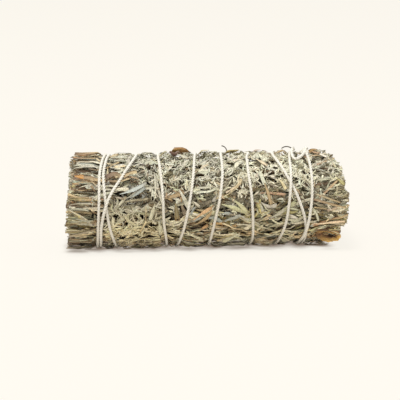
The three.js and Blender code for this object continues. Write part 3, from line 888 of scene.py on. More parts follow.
# The leaves and twigs that stand out, by kind, each from (x, angle) to (x, angle): ends, width, tone, and
# how far it may stand proud of the others. One that stands well proud is a crumpled wad, not a thin leaf.
HEROES = {
    "bract": [
        (-13.4, 85, -9.6, 87, 3.0, "husk", 0.9), (-12.4, 97, -5.4, 99, 3.4, "chestnut", 1.7),
        (-12.0, 94, -8.2, 96, 2.6, "ginger", 1.2), (-17.4, 88, -14.0, 89, 2.6, "olive", 0.6),
        (-2.7, 91, 1.5, 93, 2.2, "moss", 0.6), (7.3, 90, 12.8, 92, 2.4, "moss", 0.6),
        (16.8, 90, 20.8, 91, 2.2, "ochre", 0.5), (21.3, 90, 30.8, 91, 1.8, "red bark", 0.5),
        (34.0, 86, 36.4, 85, 2.4, "dusty", 0.3), (38.2, 87, 41.8, 86, 2.8, "ginger", 0.7),
    ],
    "leaf": [
        (-49.6, 102, -40.8, 100, 1.7, "amber", 0.5), (-46.2, 78, -39.5, 81, 1.3, "tan", 0.3),
        (-49.2, 92, -43.0, 91, 1.4, "amber", 0.4), (-48.9, 84, -43.5, 83, 1.2, "rust", 0.3),
        (-48.6, 76, -45.6, 74, 1.5, "amber", 0.3), (-44.5, 96, -39.5, 93, 1.3, "rust", 0.4),
        (-47.6, 88, -41.0, 87, 1.5, "rust", 0.4), (-50.4, 81, -45.6, 80, 1.4, "amber", 0.4),
        (-44.0, 83, -40.2, 84, 1.3, "rust", 0.4), (-36.4, 86, -32.0, 83, 1.5, "tan", 0.4),
        (-51.2, 42, -47.8, 41, 1.9, "amber", 0.5), (-50.2, 66, -41.0, 67, 1.5, "pale", 0.3),
        (-36.3, 61, -36.2, 39, 0.9, "tan", 0.3), (-51.2, 9, -40.5, 9, 1.1, "pale", 0.3),
        (-51.4, -32, -40.6, -24, 1.3, "dusty", 0.2), (-27.4, 88, -29.3, 56, 2.0, "pale", 0.3),
        (-32.2, 19, -22.3, 31, 1.9, "slate", 0.3), (-28.6, 15, -23.1, 26, 1.5, "slate", 0.3),
        (-35.0, 18, -30.7, 14, 1.2, "dusty", 0.3), (-30.5, 11, -22.0, 14, 1.4, "dusty", 0.2),
        (-31.5, -4, -26.5, -19, 1.6, "dusty", 0.2), (-19.6, 8, -21.4, -11, 1.9, "sage", 0.3),
        (-18.2, -14, -16.6, -37, 2.2, "grey", 0.3), (-16.3, 13, -9.0, 20, 2.0, "brown", 0.2),
        (-10.8, 24, -7.3, 2, 2.1, "grey", 0.5), (-10.2, 8, -8.4, -7, 1.8, "dusty", 0.2),
        # The first leaf in the next row, of the dark tone, is painted shade: a dark leaf put where a hollow
        # lies between the others.
        (-12.2, 8, -11.4, -12, 2.4, "dark", 0.1), (-5.9, -12, 1.7, 4, 1.4, "ochre", 0.3),
        (-4.7, -19, 1.4, -3, 1.5, "brown", 0.3), (-5.8, 10, -3.3, 3, 1.1, "pale", 0.4),
        (-1.5, -8, 4.7, -16, 1.8, "slate", 0.2), (5.8, -16, 11.6, -8, 1.7, "slate", 0.2),
        (-3.5, -28, -0.3, -21, 1.3, "rust", 0.2), (0.4, -22, 5.1, -17, 1.0, "rust", 0.2),
        (5.4, 13, 12.6, 34, 1.2, "tan", 0.3), (4.7, 6, 13.4, -5, 2.4, "green", 0.3),
        (8.3, 13, 14.9, -9, 2.2, "green", 0.3), (18.6, 19, 27.9, 16.5, 1.4, "ochre", 0.3),
        (20.4, 30, 22.6, 5, 1.5, "brown", 0.3), (25.8, 36, 28.5, 22, 1.7, "tan", 0.3),
        (18.1, 65, 21.8, 54, 1.6, "tan", 0.3), (24.4, -7, 32.0, 7, 1.8, "green", 0.3),
        (22.0, -12, 29.5, 1, 1.7, "grey", 0.3), (37.9, 1, 40.3, -17, 1.1, "pale", 0.3),
        (39.0, 84, 42.2, 74, 1.8, "rust", 0.5), (47.2, 34, 49.8, 27, 1.5, "olive", 0.4),
        (37.8, -21, 49.9, -19, 1.3, "dusty", 0.2), (38.7, -49, 47.8, -36, 3.6, "brown", 0.5),
        (40.5, -38, 48.4, -33, 2.0, "rust", 0.4), (42.2, 84, 47.6, 66, 1.3, "pale", 0.4),
    ],
    "twig": [
        (-50.0, 96, -40.4, 97, 1.3, "red bark", 0.4), (-49.4, 73, -41.0, 72, 1.1, "bark", 0.3),
        (-51.6, 41, -40.3, 38, 2.0, "purple bark", 0.5), (-37.2, 43, -25.8, 46, 2.2, "purple bark", 0.7),
        (-37.0, 36, -28.5, 37.5, 1.2, "purple bark", 0.4), (-22.9, 5, -22.8, -13, 0.6, "straw", 0.3),
        (-22.8, -13, -25.0, -28, 0.6, "straw", 0.3), (4.8, -18, 14.1, -31, 0.6, "straw", 0.4),
        (6.2, 19, 11.8, 30, 0.7, "straw", 0.3), (21.1, 88, 30.0, 86, 1.1, "bark", 0.4),
        (38.3, 10, 50.4, -1, 0.9, "bark", 0.4), (39.0, 16, 48.2, 5, 0.7, "straw", 0.3),
    ],
}
WOOD_TONES = {
    "bark": (0.49, 0.41, 0.34), "straw": (0.72, 0.665, 0.545), "grey bark": (0.59, 0.54, 0.47),
    "green bark": (0.63, 0.60, 0.49), "red bark": (0.58, 0.47, 0.37),
}
HERO_TONES = {
    "amber": (0.70, 0.50, 0.30), "dusty": (0.69, 0.63, 0.53), "ochre": (0.68, 0.56, 0.41),
    "ginger": (0.60, 0.46, 0.25), "moss": (0.58, 0.52, 0.31), "husk": (0.40, 0.31, 0.25),
    "chestnut": (0.62, 0.46, 0.30), "purple bark": (0.43, 0.35, 0.29),
}
# A leaf that stands further proud than this is a wad
THIN_PROUD = 0.5
# Shares of how far a wad stands proud, then how many times more it crinkles
WAD_SINK = 0.3
WAD_ARCH = 0.4
WAD_THICK = 2.2
WAD_CRINKLE = 2.0
MOST_CURL = 0.9


def hero_leaves(kind, random):
    """A batch of the leaves or twigs that stand out, each where the list has it."""
    rows = HEROES[kind]
    x0, a0, x1, a1, width = np.array([row[:5] for row in rows]).T
    along, around = x1 - x0, (a1 - a0) * MM_PER_DEGREE
    leaves = Leaves(kind, len(rows), random)
    leaves.length = np.hypot(along, around)
    leaves.width = width
    proud = np.array([row[6] for row in rows])
    wad = proud > THIN_PROUD
    leaves.lift = proud if kind == "twig" else np.where(wad, -WAD_SINK * proud, 0)
    leaves.arch = np.where(wad, WAD_ARCH * proud, leaves.arch)
    leaves.thick = np.where(wad, WAD_THICK * proud, leaves.thick)
    leaves.crinkle = np.where(wad, WAD_CRINKLE, 1.0) * leaves.crinkle
    leaves.taper = np.where(wad, 1.0, leaves.taper)
    leaves.curl = np.minimum(leaves.curl, MOST_CURL)
    leaves.spin, leaves.bend = 0.5 * leaves.spin, 0.4 * leaves.bend
    leaves.alpha = np.arctan2(around, along)
    leaves.x, leaves.s = (x0 + x1) / 2, (a0 + a1) / 2 * MM_PER_DEGREE
    leaves.proud = PROUD + proud
    leaves.cluster = leaves.first = np.arange(len(rows))
    named = {**TONES, **WOOD_TONES, **HERO_TONES}
    leaves.tones = np.array([named[row[5]] for row in rows])
    return leaves


# ---- Meshes ----
def loft_faces(count, rings, ring):
    """Quads along the sides, and the two end faces, of `count` lofts: two index arrays."""
    i = np.arange(rings - 1)[:, None] * ring
    j = np.arange(ring)[None, :]
    k = (j + 1) % ring
    quads = np.stack([i + j, i + k, i + ring + k, i + ring + j], axis=-1).reshape(-1, 4)
    caps = np.stack([np.arange(ring)[::-1], (rings - 1) * ring + np.arange(ring)])
    base = (np.arange(count) * rings * ring)[:, None, None]
    return (quads[None] + base).reshape(-1, 4), (caps[None] + base).reshape(-1, ring)


class MeshParts:
    """Points, faces and per-point values gathered for one mesh."""

    def __init__(self):
        self.points, self.faces = [], []
        self.values = {"tint": [], "place": []}
        self.count = 0

    def add(self, points, faces, tint, place):
        """Adds points and their faces. The tint and the place are one for all points, or one for each."""
        self.points.append(points)
        self.faces += [face + self.count for face in faces]
        self.values["tint"].append(np.broadcast_to(tint, (len(points), 3)))
        self.values["place"].append(np.broadcast_to(place, (len(points), 3)))
        self.count += len(points)

    def add_tube(self, rings, tint, place):
        """Adds a closed tube whose points are (ring, point, 3)."""
        self.add(rings.reshape(-1, 3), loft_faces(1, *rings.shape[:2]), tint, place)

    def add_leaves(self, leaves, points, rows):
        """Adds these rows of a batch whose points are (leaf, ring, point, 3)."""
        if len(rows) == 0:
            return
        shape = len(rows), points.shape[1], points.shape[2]
        wither = leaves.wither[rows][:, None, None]
        place = np.stack([np.broadcast_to(value, shape) for value in
                          (leaves.t[:, None], leaves.ring[:, 0], wither)], axis=-1)
        tint = np.broadcast_to(leaves.tint[rows][:, None, None, :], (*shape, 3))
        self.add(points[rows].reshape(-1, 3), loft_faces(*shape), tint.reshape(-1, 3), place.reshape(-1, 3))

    def build(self, name, material, slot, *nodes):
        mesh = bpy.data.meshes.new(name)
        points = np.concatenate(self.points) * MM
        mesh.vertices.add(len(points))
        mesh.vertices.foreach_set("co", points.astype(np.float32).ravel())
        sizes = np.concatenate([np.full(len(f), f.shape[1]) for f in self.faces])
        corners = np.concatenate([f.ravel() for f in self.faces])
        mesh.loops.add(len(corners))
        mesh.loops.foreach_set("vertex_index", corners.astype(np.int32))
        mesh.polygons.add(len(sizes))
        starts = np.concatenate([[0], np.cumsum(sizes)[:-1]])
        mesh.polygons.foreach_set("loop_start", starts.astype(np.int32))
        mesh.polygons.foreach_set("use_smooth", np.ones(len(sizes), bool))
        mesh.update(calc_edges=True)
        mesh.validate()
        for value_name, parts in self.values.items():
            value = np.concatenate(parts).astype(np.float32)
            attribute = mesh.attributes.new(value_name, "FLOAT_VECTOR", "POINT")
            attribute.data.foreach_set("vector", value.ravel())
        mesh.materials.append(material)
        piece = bpy.data.objects.new(name, mesh)
        bpy.context.scene.collection.objects.link(piece)
        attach(piece, BODY)
        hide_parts(*nodes)
        return piece


# ---- Leaves inside the bundle and at its two ends, laid in space along their own sprig ----
DEPTH_AT_ENDS = 0.3
DEPTH_INSIDE = 2.2
END_REACH = 5
WITHIN_SPRIG = 0.92
INNER_SEED = 100


def keep_inside(points, sprig):
    """Draws points in to below the sheet's leaves, or to the skin itself at the stick's two ends."""
    x, y, z = points[..., 0], points[..., 1], points[..., 2] - AXIS_HEIGHT
    radius = np.hypot(y, z)
    degrees = np.degrees(np.arctan2(z, -y))
    from_end = np.minimum(x - sprig.left, sprig.right - x)
    depth = DEPTH_AT_ENDS + DEPTH_INSIDE * np.clip(from_end / END_REACH, 0, 1)
    limit = skin_radius(degrees) - depth
    scale = np.minimum(1, smooth_least(radius, limit, 0.2) / np.maximum(radius, 1e-6))
    return np.stack([x, y * scale, z * scale + AXIS_HEIGHT], axis=-1)


def inner_leaves(sprig, kind, x, tilt, random):
    """Leaves round one sprig's stem with their middles at x, each turned its own way."""
    count = len(x)
    leaves = Leaves(kind, count, random)
    leaves.cluster = leaves.first = np.arange(count)
    turn = random.random(count) * 2 * math.pi
    out = np.sqrt(random.random(count))
    y = sprig.y + WITHIN_SPRIG * sprig.half_y * out * np.cos(turn)
    z = sprig.z + WITHIN_SPRIG * sprig.half_z * out * np.sin(turn)
    reach = 0.5 * leaves.length
    x = np.clip(x, sprig.left + 0.5 + reach, sprig.right - 0.2 - reach)
    yaw, pitch = tilt * random.normal(size=(2, count))
    roll = random.random(count) * 2 * math.pi
    along = np.stack([np.ones(count), yaw, pitch], axis=1)
    along /= np.linalg.norm(along, axis=1, keepdims=True)
    across = np.stack([-yaw * np.cos(roll), np.cos(roll), np.sin(roll)], axis=1)
    across -= along * (along * across).sum(axis=1, keepdims=True)
    across /= np.linalg.norm(across, axis=1, keepdims=True)
    above = np.cross(along, across)
    a, b, c = leaves.local()
    c = c + leaves.spine_height()[:, :, None]
    middle = np.stack([x, y, z], axis=1)[:, None, None, :]
    points = (middle + a[..., None] * along[:, None, None, :] + b[..., None] * across[:, None, None, :]
              + c[..., None] * above[:, None, None, :])
    leaves.x = x
    leaves.s = np.degrees(np.arctan2(z - AXIS_HEIGHT, -y)) * MM_PER_DEGREE
    colour_leaves(leaves, random)
    return leaves, keep_inside(points, sprig)


def fill_sprig(sprig, index):
    """Batches that fill a sprig's inside and its two ends."""
    random = np.random.default_rng(INNER_SEED + index)
    batches = []
    left, right = sprig.left, sprig.right
    # Each batch: its kind, how many, from where to where along X, and how far they tilt
    spans = [("leaf", 14, right - 9, right + 2, 0.12), ("tuft", 16, right - 4, right + 2, 0.12),
             ("leaf", 14, left - 2, left + 9, 0.12), ("tuft", 10, left - 2, left + 5, 0.12),
             ("under", 24, left, right, 0.5), ("bract", 14, right - 7, right, 0.5),
             ("bract", 10, left, left + 7, 0.5)]
    for kind, count, low, high, tilt in spans:
        x = low + (high - low) * random.random(count)
        batches.append(inner_leaves(sprig, kind, x, tilt, random))
    return batches


ROLLED_SIDES = 36
# Each ring as (share of the bowl's reach, height over its lip), from the hollow's middle outwards
ROLLED_PROFILE = [
    (0.04, -2.0), (0.3, -1.8), (0.46, -1.0), (0.56, -1.15), (0.72, -0.4), (0.86, 0.05), (0.98, 0.15),
    (1.06, -0.1), (1.08, -0.7), (1.0, -1.7),
]
# The hollow's tone is painted shade inside the curl; the wall's and the lip's are the leaf's own.
ROLLED_TONES = (0.22, 0.14, 0.08), (0.52, 0.40, 0.29), (0.90, 0.74, 0.45)
# A place away from any midrib or tip, on a leaf that hasn't withered
PLAIN_PLACE = (0.5, 0.9, 0.0)


def rolled_leaf(parts):
    """The big curled leaf: a long bowl with a ragged golden lip round its hollow, which is painted dark as
    shade.
    """
    (x0, angle0), (x1, angle1) = ROLLED_ENDS
    random = np.random.default_rng(ROLLED_SEED)
    turn = circle(ROLLED_SIDES)
    ragged = 1 + 0.07 * np.sin(3 * turn + 1) + 0.05 * np.sin(7 * turn)
    ragged = ragged + 0.05 * random.normal(size=ROLLED_SIDES)
    middle = in_space((x0 + x1) / 2, (angle0 + angle1) / 2, BUNDLE_RADIUS - 0.15)
    facing = math.radians(ROLLED_FACING)
    out = np.array([0.1, -math.cos(facing), math.sin(facing)])
    up = np.array([0.0, math.sin(-facing), math.cos(facing)])
    along = np.array([1.0, 0.0, -0.08])
    low_side = 1.1 * np.clip(-np.cos(turn) - 0.1, 0, 1)
    rings = []
    for reach, height in ROLLED_PROFILE:
        lift = height + 0.1 * random.normal(size=ROLLED_SIDES) * (reach > 0.5) - low_side
        shift = ROLLED_SHIFT * max(1 - reach, 0)
        right = (0.5 * (x1 - x0) + 0.5) * reach * ragged * np.cos(turn) + shift
        rise = ROLLED_RADIUS * reach * ragged * np.sin(turn) + 0.2 * shift
        rings.append(middle + right[:, None] * along + rise[:, None] * up + lift[:, None] * out)
    quads, _ = loft_faces(1, len(rings), ROLLED_SIDES)
    faces = [quads[:, ::-1], np.arange(ROLLED_SIDES)[None, :]]
    hollow, wall, lip = (to_linear(tone) for tone in ROLLED_TONES)
    share = np.repeat([reach for reach, _ in ROLLED_PROFILE], ROLLED_SIDES)[:, None]
    # The hollow is painted dark, as shade inside the curl.
    tint = np.where(share < 0.5, hollow, np.where(share < 0.6, wall, lip))
    to_left = np.tile(np.clip(-1.2 * np.cos(turn) - 0.2, 0, 1), len(rings))[:, None]
    tint = (tint + to_left * (wall - tint)) * (0.8 + 0.4 * random.random((len(tint), 1)))
    parts.add(np.concatenate(rings), faces, tint, PLAIN_PLACE)


# ---- Stems ----
STEM_SIDES = 9
STEM_TONE = (0.50, 0.42, 0.34)
STEM_STEP = 2.2
STEM_SINK = 1.6
STEM_SET_BACK = 0.9
BUTT_RADIUS = 1.0
TIP_RADIUS = 0.7
WOOD_SHARE = 0.86
STEM_WAVE = 0.3
CUT_SLANT = 0.35
STEM_SEED = 500


def stem_points(sprig, index):
    """Rings of a stem from its cut butt to its tip, wavy and knobbly."""
    random = np.random.default_rng(STEM_SEED + index)
    rings = int((sprig.right - sprig.left) / STEM_STEP) + 1
    t = np.linspace(0, 1, rings)
    x = sprig.left + STEM_SET_BACK + (sprig.right - sprig.left - STEM_SET_BACK) * t
    phase = random.random(4) * 2 * math.pi
    within = np.clip(6 * np.minimum(t, 1 - t), 0, 1)
    sunk = 1 - (STEM_SINK * within / max(sprig.from_axis, 1)) * sprig.outer
    y = sprig.y * sunk + STEM_WAVE * np.sin(phase[0] + x * 0.16) * within
    z = AXIS_HEIGHT + (sprig.z - AXIS_HEIGHT) * sunk + STEM_WAVE * np.sin(phase[1] + x * 0.13) * within
    radius = (BUTT_RADIUS + (TIP_RADIUS - BUTT_RADIUS) * t) * (0.85 + 0.3 * random.random())
    radius = radius * (1 - 0.3 * within)
    turn = circle(STEM_SIDES)
    ridges = 1 + 0.07 * np.sin(3 * turn + phase[2])[None, :]
    reach = radius[:, None] * (ridges + 0.05 * random.normal(size=(rings, STEM_SIDES)))
    slant = CUT_SLANT * random.normal()
    px = x[:, None] + np.where((t == 0) | (t == 1), slant, 0)[:, None] * np.cos(turn) * reach
    return np.stack([px, y[:, None] + reach * np.cos(turn), z[:, None] + reach * np.sin(turn)], axis=-1)


def add_stem(parts, sprig, index):
    """The bark, then two cut faces, each a ring of wood round a pith point."""
    rings = stem_points(sprig, index)
    around = np.arange(STEM_SIDES)
    after = (around + 1) % STEM_SIDES
    points, faces = [rings.reshape(-1, 3)], [loft_faces(1, len(rings), STEM_SIDES)[0]]
    place = [np.zeros_like(points[0])]
    for rim, start, order in (rings[0], 0, -1), (rings[-1], (len(rings) - 1) * STEM_SIDES, 1):
        base = sum(map(len, points))
        band = np.stack([start + around, start + after, base + after, base + around], axis=1)
        fan = np.stack([base + around, base + after, np.full(STEM_SIDES, base + STEM_SIDES)], axis=1)
        faces += [band[:, ::order], fan[:, ::order]]
        middle = rim.mean(axis=0)
        points.append(np.vstack([middle + WOOD_SHARE * (rim - middle), middle]))
        place.append([[1, 0, 0]] * STEM_SIDES + [[1, 1, 0]])
    parts.add(np.concatenate(points), faces, to_linear(STEM_TONE), np.concatenate(place))


# ---- The string ----
PLY_COUNT = 3
PLY_OFFSET = 0.27
PLY_RADIUS = 0.31
PLY_SIDES = 6
PLY_PITCH = 3.4
PLY_STEP = 0.45
FRAY_LENGTH = 2.2
TAIL_SINK = 0.2
FREE_STEPS = 40
KNOT_STEPS = 90
TO_KNOT_DEGREES = 12
# How many times each path is drawn tighter
WOUND_ROUNDS = 5
FREE_ROUNDS = 14


def resample(points, step):
    """A path's points at even steps, and how far along it each one is."""
    lengths = np.concatenate([[0], np.cumsum(np.linalg.norm(np.diff(points, axis=0), axis=1))])
    at = np.linspace(0, lengths[-1], max(int(lengths[-1] / step), 2) + 1)
    return np.stack([np.interp(at, lengths, points[:, k]) for k in range(3)], axis=1), at


def smooth_path(points, rounds):
    """A path drawn tighter by averaging neighbours; its ends stay."""
    for _ in range(rounds):
        inner = 0.25 * points[:-2] + 0.5 * points[1:-1] + 0.25 * points[2:]
        points = np.concatenate([points[:1], inner, points[-1:]])
    return points


def frames_along(points):
    """Two unit vectors square to a path, the first as near as can be to outwards."""
    tangent = np.gradient(points, axis=0)
    tangent /= np.linalg.norm(tangent, axis=1, keepdims=True)
    outwards = points - np.array([0, 0, AXIS_HEIGHT])
    outwards[:, 0] = 0
    normal = outwards - tangent * (outwards * tangent).sum(axis=1, keepdims=True)
    normal /= np.linalg.norm(normal, axis=1, keepdims=True)
    return normal, np.cross(tangent, normal)


def tube(middles, radius, normal, side):
    """Rings of points round a path: (ring, point, 3)."""
    turn = circle(PLY_SIDES)[None, :, None]
    reach = np.cos(turn) * normal[:, None, :] + np.sin(turn) * side[:, None, :]
    return middles[:, None, :] + radius * reach


def add_string(parts, path, fray=False):
    """Three twisted plies along a path, which come apart at a frayed end."""
    points, at = resample(path, PLY_STEP)
    normal, side = frames_along(points)
    loosen = np.clip(1 - (at[-1] - at) / FRAY_LENGTH, 0, 1) * fray
    for ply in range(PLY_COUNT):
        angle = 2 * math.pi * (at / PLY_PITCH + ply / PLY_COUNT)
        offset = PLY_OFFSET * (1 + 1.6 * loosen)
        radius = PLY_RADIUS * (1 - 0.45 * loosen) * (1 + 0.05 * np.sin(at * 1.7 + ply * 2.1))
        middle = points + offset[:, None] * (np.cos(angle)[:, None] * normal + np.sin(angle)[:, None] * side)
        rings = tube(middle, radius[:, None, None], normal, side)
        place = np.stack(np.broadcast_arrays(at[:, None], circle(PLY_SIDES), ply), axis=-1)
        parts.add_tube(rings, (1, 1, 1), place.reshape(-1, 3))


def wound_path():
    totals = np.arange(ROUTE_START, ROUTE_END + 0.5, 1.0)
    ends = np.minimum(totals - ROUTE_START, ROUTE_END - totals)
    radius = string_radius_at(totals) + KNOT_LIFT * np.clip(1 - ends / TO_KNOT_DEGREES, 0, 1) ** 1.5
    return smooth_path(in_space(route_x(totals), totals, radius), WOUND_ROUNDS)


def free_path(rows):
    """A path through rows of [angle, x, height over the skin]."""
    rows = np.array(rows, float)
    t = np.linspace(0, len(rows) - 1, FREE_STEPS)
    angle, x, lift = (np.interp(t, np.arange(len(rows)), column) for column in rows.T)
    return smooth_path(in_space(x, angle, skin_radius(angle) + lift - TAIL_SINK), FREE_ROUNDS)


def knot_path():
    """A small three-lobed knot that lies flat on the bundle."""
    u = np.linspace(0, 2 * math.pi, KNOT_STEPS)
    reach = 0.74 + 0.42 * np.cos(3 * u)
    local = np.stack([reach * np.cos(2 * u) * 1.15, reach * np.sin(2 * u), 0.46 * np.sin(3 * u)], axis=1)
    return in_space(KNOT_X + 0.4, KNOT_ANGLE - 2, BUNDLE_RADIUS + KNOT_LIFT - STRING_DEPTH) + local


# Dark wisps that stand off the top: points along each as [angle, x, height over the skin]
WISPS = [
    [[92, 8.3, -0.4], [94, 8.2, 0.6], [96, 7.9, 1.5], [97, 7.2, 2.1], [98, 6.4, 2.3]],
    [[97, 28.8, 1.0], [98, 29.8, 1.6], [98, 31.0, 1.7], [98, 32.3, 1.3], [96, 33.4, 0.2]],
]
WISPS_ANGLE = 95
WISP_RADIUS = 0.2
WISP_STEP = 0.4
WISP_TONE = (0.36, 0.33, 0.29)


def add_wisps(parts):
    for rows in WISPS:
        path, _ = resample(free_path(rows), WISP_STEP)
        parts.add_tube(tube(path, WISP_RADIUS, *frames_along(path)), to_linear(WISP_TONE), PLAIN_PLACE)


# ---- Materials ----
def tone(*colour):
    """A colour as it looks, as a socket's value."""
    return (*to_linear(colour), 1)


# Where most of a noise's values lie
NOISE_RANGE = 0.3, 0.7


class Graph:
    """A node tree, with short ways to make the nodes that the materials use."""

    def __init__(self, owner):
        owner.use_nodes = True
        self.nodes, self.links = owner.node_tree.nodes, owner.node_tree.links
        self.nodes.clear()

    def put(self, socket, value):
        """Gives an input a plain value, or links another node's output to it."""
        if isinstance(value, bpy.types.NodeSocket):
            self.links.new(value, socket)
        else:
            socket.default_value = value

    def node(self, kind, inputs=(), **settings):
        """A node with its settings, and with its inputs by name or by place."""
        node = self.nodes.new("ShaderNode" + kind)
        for name, value in settings.items():
            setattr(node, name, value)
        for key, value in dict(inputs).items():
            self.put(node.inputs[key], value)
        return node

    def values(self, name):
        """The three values of a point's attribute."""
        vector = self.node("Attribute", attribute_name=name).outputs["Vector"]
        return self.node("SeparateXYZ", {"Vector": vector}).outputs

    def noise(self, scale, detail, rough, stretch=(1, 1, 1)):
        """Noise in the part's own space, in features per millimetre."""
        place = self.node("TexCoord").outputs["Object"]
        place = self.node("Mapping", {"Vector": place, "Scale": stretch}).outputs["Vector"]
        inputs = {"Vector": place, "Scale": scale / MM, "Detail": detail, "Roughness": rough}
        return self.node("TexNoise", inputs).outputs["Fac"]

    def math(self, operation, *values):
        return self.node("Math", enumerate(values), operation=operation).outputs["Value"]

    def remap(self, value, low, high, to_low, to_high):
        inputs = {"Value": value, "From Min": low, "From Max": high, "To Min": to_low, "To Max": to_high}
        return self.node("MapRange", inputs).outputs["Result"]

    def between(self, noise, low, high):
        """The middle of a noise's range spread from low to high."""
        return self.remap(noise, *NOISE_RANGE, low, high)

    def mix(self, factor, a, b, blend="MIX"):
        node = self.node("Mix", data_type="RGBA", blend_type=blend)
        for name, value in (("Factor", factor), ("A", a), ("B", b)):
            self.put(next(s for s in node.inputs if s.name == name and s.enabled), value)
        return next(s for s in node.outputs if s.enabled)

    def shaded_tint(self, first, second):
        """The points' own tints, made lighter or darker by two shades."""
        tint = self.node("Attribute", attribute_name="tint").outputs["Vector"]
        shade = self.math("MULTIPLY", first, second)
        grey = self.node("CombineXYZ", {0: shade, 1: shade, 2: shade}).outputs["Vector"]
        return self.mix(1.0, tint, grey, "MULTIPLY")

    def surface(self, colour, roughness, height, strength, distance, specular=0.25, sheen=(0, 0.5)):
        """The finished surface, with bumps whose size is in millimetres."""
        bumps = {"Height": height, "Strength": strength, "Distance": distance * MM}
        shader = self.node("BsdfPrincipled", {
            "Base Color": colour, "Roughness": roughness, "Specular IOR Level": specular,
            "Sheen Weight": sheen[0], "Sheen Roughness": sheen[1],
            "Normal": self.node("Bump", bumps).outputs["Normal"],
        })
        self.node("OutputMaterial", {"Surface": shader.outputs["BSDF"]})

    def for_camera(self, share, others, camera, output):
        """One shader as the camera sees it, by this share, and another for all other light."""
        ray = self.node("LightPath").outputs["Is Camera Ray"]
        mix = self.node("MixShader", {0: self.math("MULTIPLY", ray, share), 1: others, 2: camera})
        self.node(output, {"Surface": mix.outputs["Shader"]})


def leaf_material():
    """Dry downy leaf: its own tone, blotches, a paler midrib, and a browned tip on the older leaves."""
    material = bpy.data.materials.new("sage_leaf")
    graph = Graph(material)
    along, across, wither = graph.values("place")
    blotches, specks = graph.noise(0.55, 5, 0.65), graph.noise(2.0, 3, 0.6)
    colour = graph.shaded_tint(graph.between(blotches, 0.9, 1.08), graph.between(specks, 0.7, 1.3))
    rib = graph.remap(graph.math("ABSOLUTE", across), 0.0, 0.3, 0.22, 0.0)
    colour = graph.mix(rib, colour, tone(0.84, 0.82, 0.72))
    tip, old = graph.remap(along, 0.72, 1.0, 0.0, 0.8), graph.remap(wither, 0.62, 0.9, 0.0, 1.0)
    colour = graph.mix(graph.math("MULTIPLY", tip, old), colour, tone(0.52, 0.42, 0.26))
    graph.surface(colour, graph.between(specks, 0.78, 0.95), specks, 0.8, 0.2, sheen=(0.18, 0.5))
    return material


def stem_material():
    """Grey-brown bark in long streaks, with a pale cut face round a darker pith."""
    material = bpy.data.materials.new("woody_stem")
    graph = Graph(material)
    cut, pith, _ = graph.values("place")
    streaks, patches = graph.noise(1.4, 5, 0.65, (0.12, 1, 1)), graph.noise(0.3, 3, 0.6)
    bark = graph.shaded_tint(graph.between(streaks, 0.62, 1.3), graph.between(patches, 0.8, 1.2))
    grain = graph.between(graph.noise(3.0, 4, 0.7), 0, 1)
    wood = graph.mix(grain, tone(0.72, 0.62, 0.44), tone(0.87, 0.80, 0.64))
    wood = graph.mix(pith, wood, tone(0.55, 0.44, 0.30))
    colour = graph.mix(cut, bark, wood)
    graph.surface(colour, graph.between(streaks, 0.7, 0.95), streaks, 0.8, 0.25, specular=0.3)
    return material


def string_material():
    """Off-white cotton with fine fibres that follow the twist."""
    material = bpy.data.materials.new("cotton_string")
    graph = Graph(material)
    place = zip(graph.values("place"), (0.9, 2.4, 7.3))
    place = graph.node("CombineXYZ", enumerate(graph.math("MULTIPLY", value, pace) for value, pace in place))
    inputs = {"Vector": place.outputs["Vector"], "Scale": 1.6, "Detail": 4}
    fibres = graph.node("TexNoise", inputs).outputs["Fac"]
    soil = graph.remap(graph.noise(0.09, 3, 0.6), 0.5, 0.75, 0, 0.35)
    paler = graph.remap(fibres, 0.35, 0.7, 0, 1)
    colour = graph.mix(paler, tone(0.86, 0.84, 0.79), tone(0.96, 0.95, 0.91))
    colour = graph.mix(soil, colour, tone(0.86, 0.82, 0.72))
    graph.surface(colour, graph.between(fibres, 0.8, 0.95), fibres, 0.6, 0.08, sheen=(0.2, 0.4))
    return material


# ---- Building the pieces ----
SHEET_SEED = 21


def sprig_at(angle, outer):
    """The outer sprig at an angle round the stick."""
    return outer[owners(np.array([angle * MM_PER_DEGREE]), outer)[0]]


def build_foliage(sprigs, leaf, stem):
    outer = [sprig for sprig in sprigs if sprig.outer]
    random = np.random.default_rng(SHEET_SEED)
    layers = [sow(random, *row) if len(row) > 1 else hero_leaves(*row, random) for row in LAYERS]
    stack = Stack()
    for leaves in layers:
        hold_within_ends(leaves, outer, random)
        stack.lay(leaves)
        colour_leaves(leaves, random)
    level = stack.smoothed()
    foliage = {sprig.node: MeshParts() for sprig in sprigs}
    wood = {sprig.node: MeshParts() for sprig in sprigs}
    for leaves in layers:
        points = settle(leaves, stack, level)
        # Painted shade on the leaves that lie deep between the others
        paint_gap_shade(leaves)
        own = np.where(stack.seen(leaves), owners(leaves.s, outer), -1)
        target = wood if leaves.kind == "twig" else foliage
        for k, sprig in enumerate(outer):
            target[sprig.node].add_leaves(leaves, points, np.flatnonzero(own == k))
    rolled_leaf(foliage[sprig_at(ROLLED_ENDS[0][1], outer).node])
    add_wisps(foliage[sprig_at(WISPS_ANGLE, outer).node])
    for index, sprig in enumerate(sprigs):
        for leaves, points in fill_sprig(sprig, index):
            foliage[sprig.node].add_leaves(leaves, points, np.arange(leaves.count))
        add_stem(wood[sprig.node], sprig, index)
        foliage[sprig.node].build(f"{sprig.node}_leaves", leaf, "sage_leaf", sprig.node)
        wood[sprig.node].build(f"{sprig.node}_stem", stem, "woody_stem", sprig.node)


def build_string(cotton):
    wound = MeshParts()
    add_string(wound, wound_path())
    wound.build("cotton_string_wound", cotton, "cotton_string", STRING_NODE)
    knot = MeshParts()
    add_string(knot, knot_path())
    for rows in TAILS:
        add_string(knot, free_path(rows), fray=True)
    knot.build("cotton_string_knot", cotton, "cotton_string", STRING_NODE)


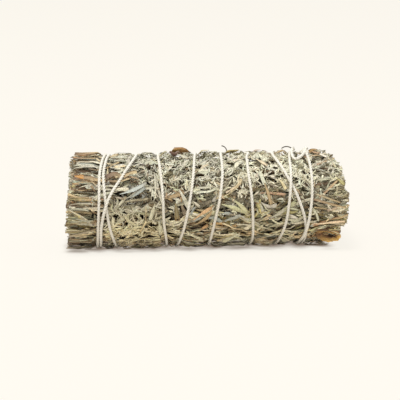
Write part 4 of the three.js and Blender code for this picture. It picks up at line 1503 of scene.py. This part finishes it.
# ---- Studio ----
BACKGROUND = (0.992, 0.976, 0.941)
SHADOW = (0.42, 0.33, 0.25)
SHADOW_REACH = 3.5
SHADOW_SAMPLES = 16
FLOOR = (0.93, 0.9, 0.86)
SKY = (1.0, 0.99, 0.97, 1)
FLOOR_SIZE = 8
FLOOR_SEEN = 0.9
SKY_STRENGTH = 0.7
LAMP_PLACE = (-0.17, -0.2, 1.12)
LAMP_SIZE = 0.4
LAMP_POWER = 10.2


def make_floor():
    """A pale floor that is the background's colour to the camera, darkened where the stick shades it."""
    bpy.ops.mesh.primitive_plane_add(size=FLOOR_SIZE)
    floor = bpy.context.object
    floor.name = "floor"
    material = bpy.data.materials.new("floor")
    graph = Graph(material)
    diffuse = graph.node("BsdfDiffuse", {"Color": tone(*FLOOR)})
    near = {"Distance": SHADOW_REACH * MM}
    open_sky = graph.node("AmbientOcclusion", near, samples=SHADOW_SAMPLES).outputs["AO"]
    glow = graph.node("Emission", {"Color": graph.mix(open_sky, tone(*SHADOW), tone(*BACKGROUND))})
    graph.for_camera(FLOOR_SEEN, diffuse.outputs["BSDF"], glow.outputs["Emission"], "OutputMaterial")
    floor.data.materials.append(material)


def make_world():
    world = bpy.data.worlds.new("studio")
    bpy.context.scene.world = world
    graph = Graph(world)
    sky = graph.node("Background", {"Color": SKY, "Strength": SKY_STRENGTH})
    seen = graph.node("Background", {"Color": tone(*BACKGROUND)})
    graph.for_camera(1.0, sky.outputs["Background"], seen.outputs["Background"], "OutputWorld")


def make_lamp():
    data = bpy.data.lights.new("key", "AREA")
    data.shape = "DISK"
    data.size = LAMP_SIZE
    data.energy = LAMP_POWER
    lamp = bpy.data.objects.new("key", data)
    bpy.context.scene.collection.objects.link(lamp)
    lamp.location = LAMP_PLACE
    lamp.rotation_euler = (-Vector(LAMP_PLACE)).to_track_quat("-Z", "Y").to_euler()


def set_view():
    bpy.context.scene.view_settings.view_transform = "Standard"


make_camera()
set_view()
make_floor()
make_world()
make_lamp()
build_foliage(find_sprigs(), leaf_material(), stem_material())
build_string(string_material())
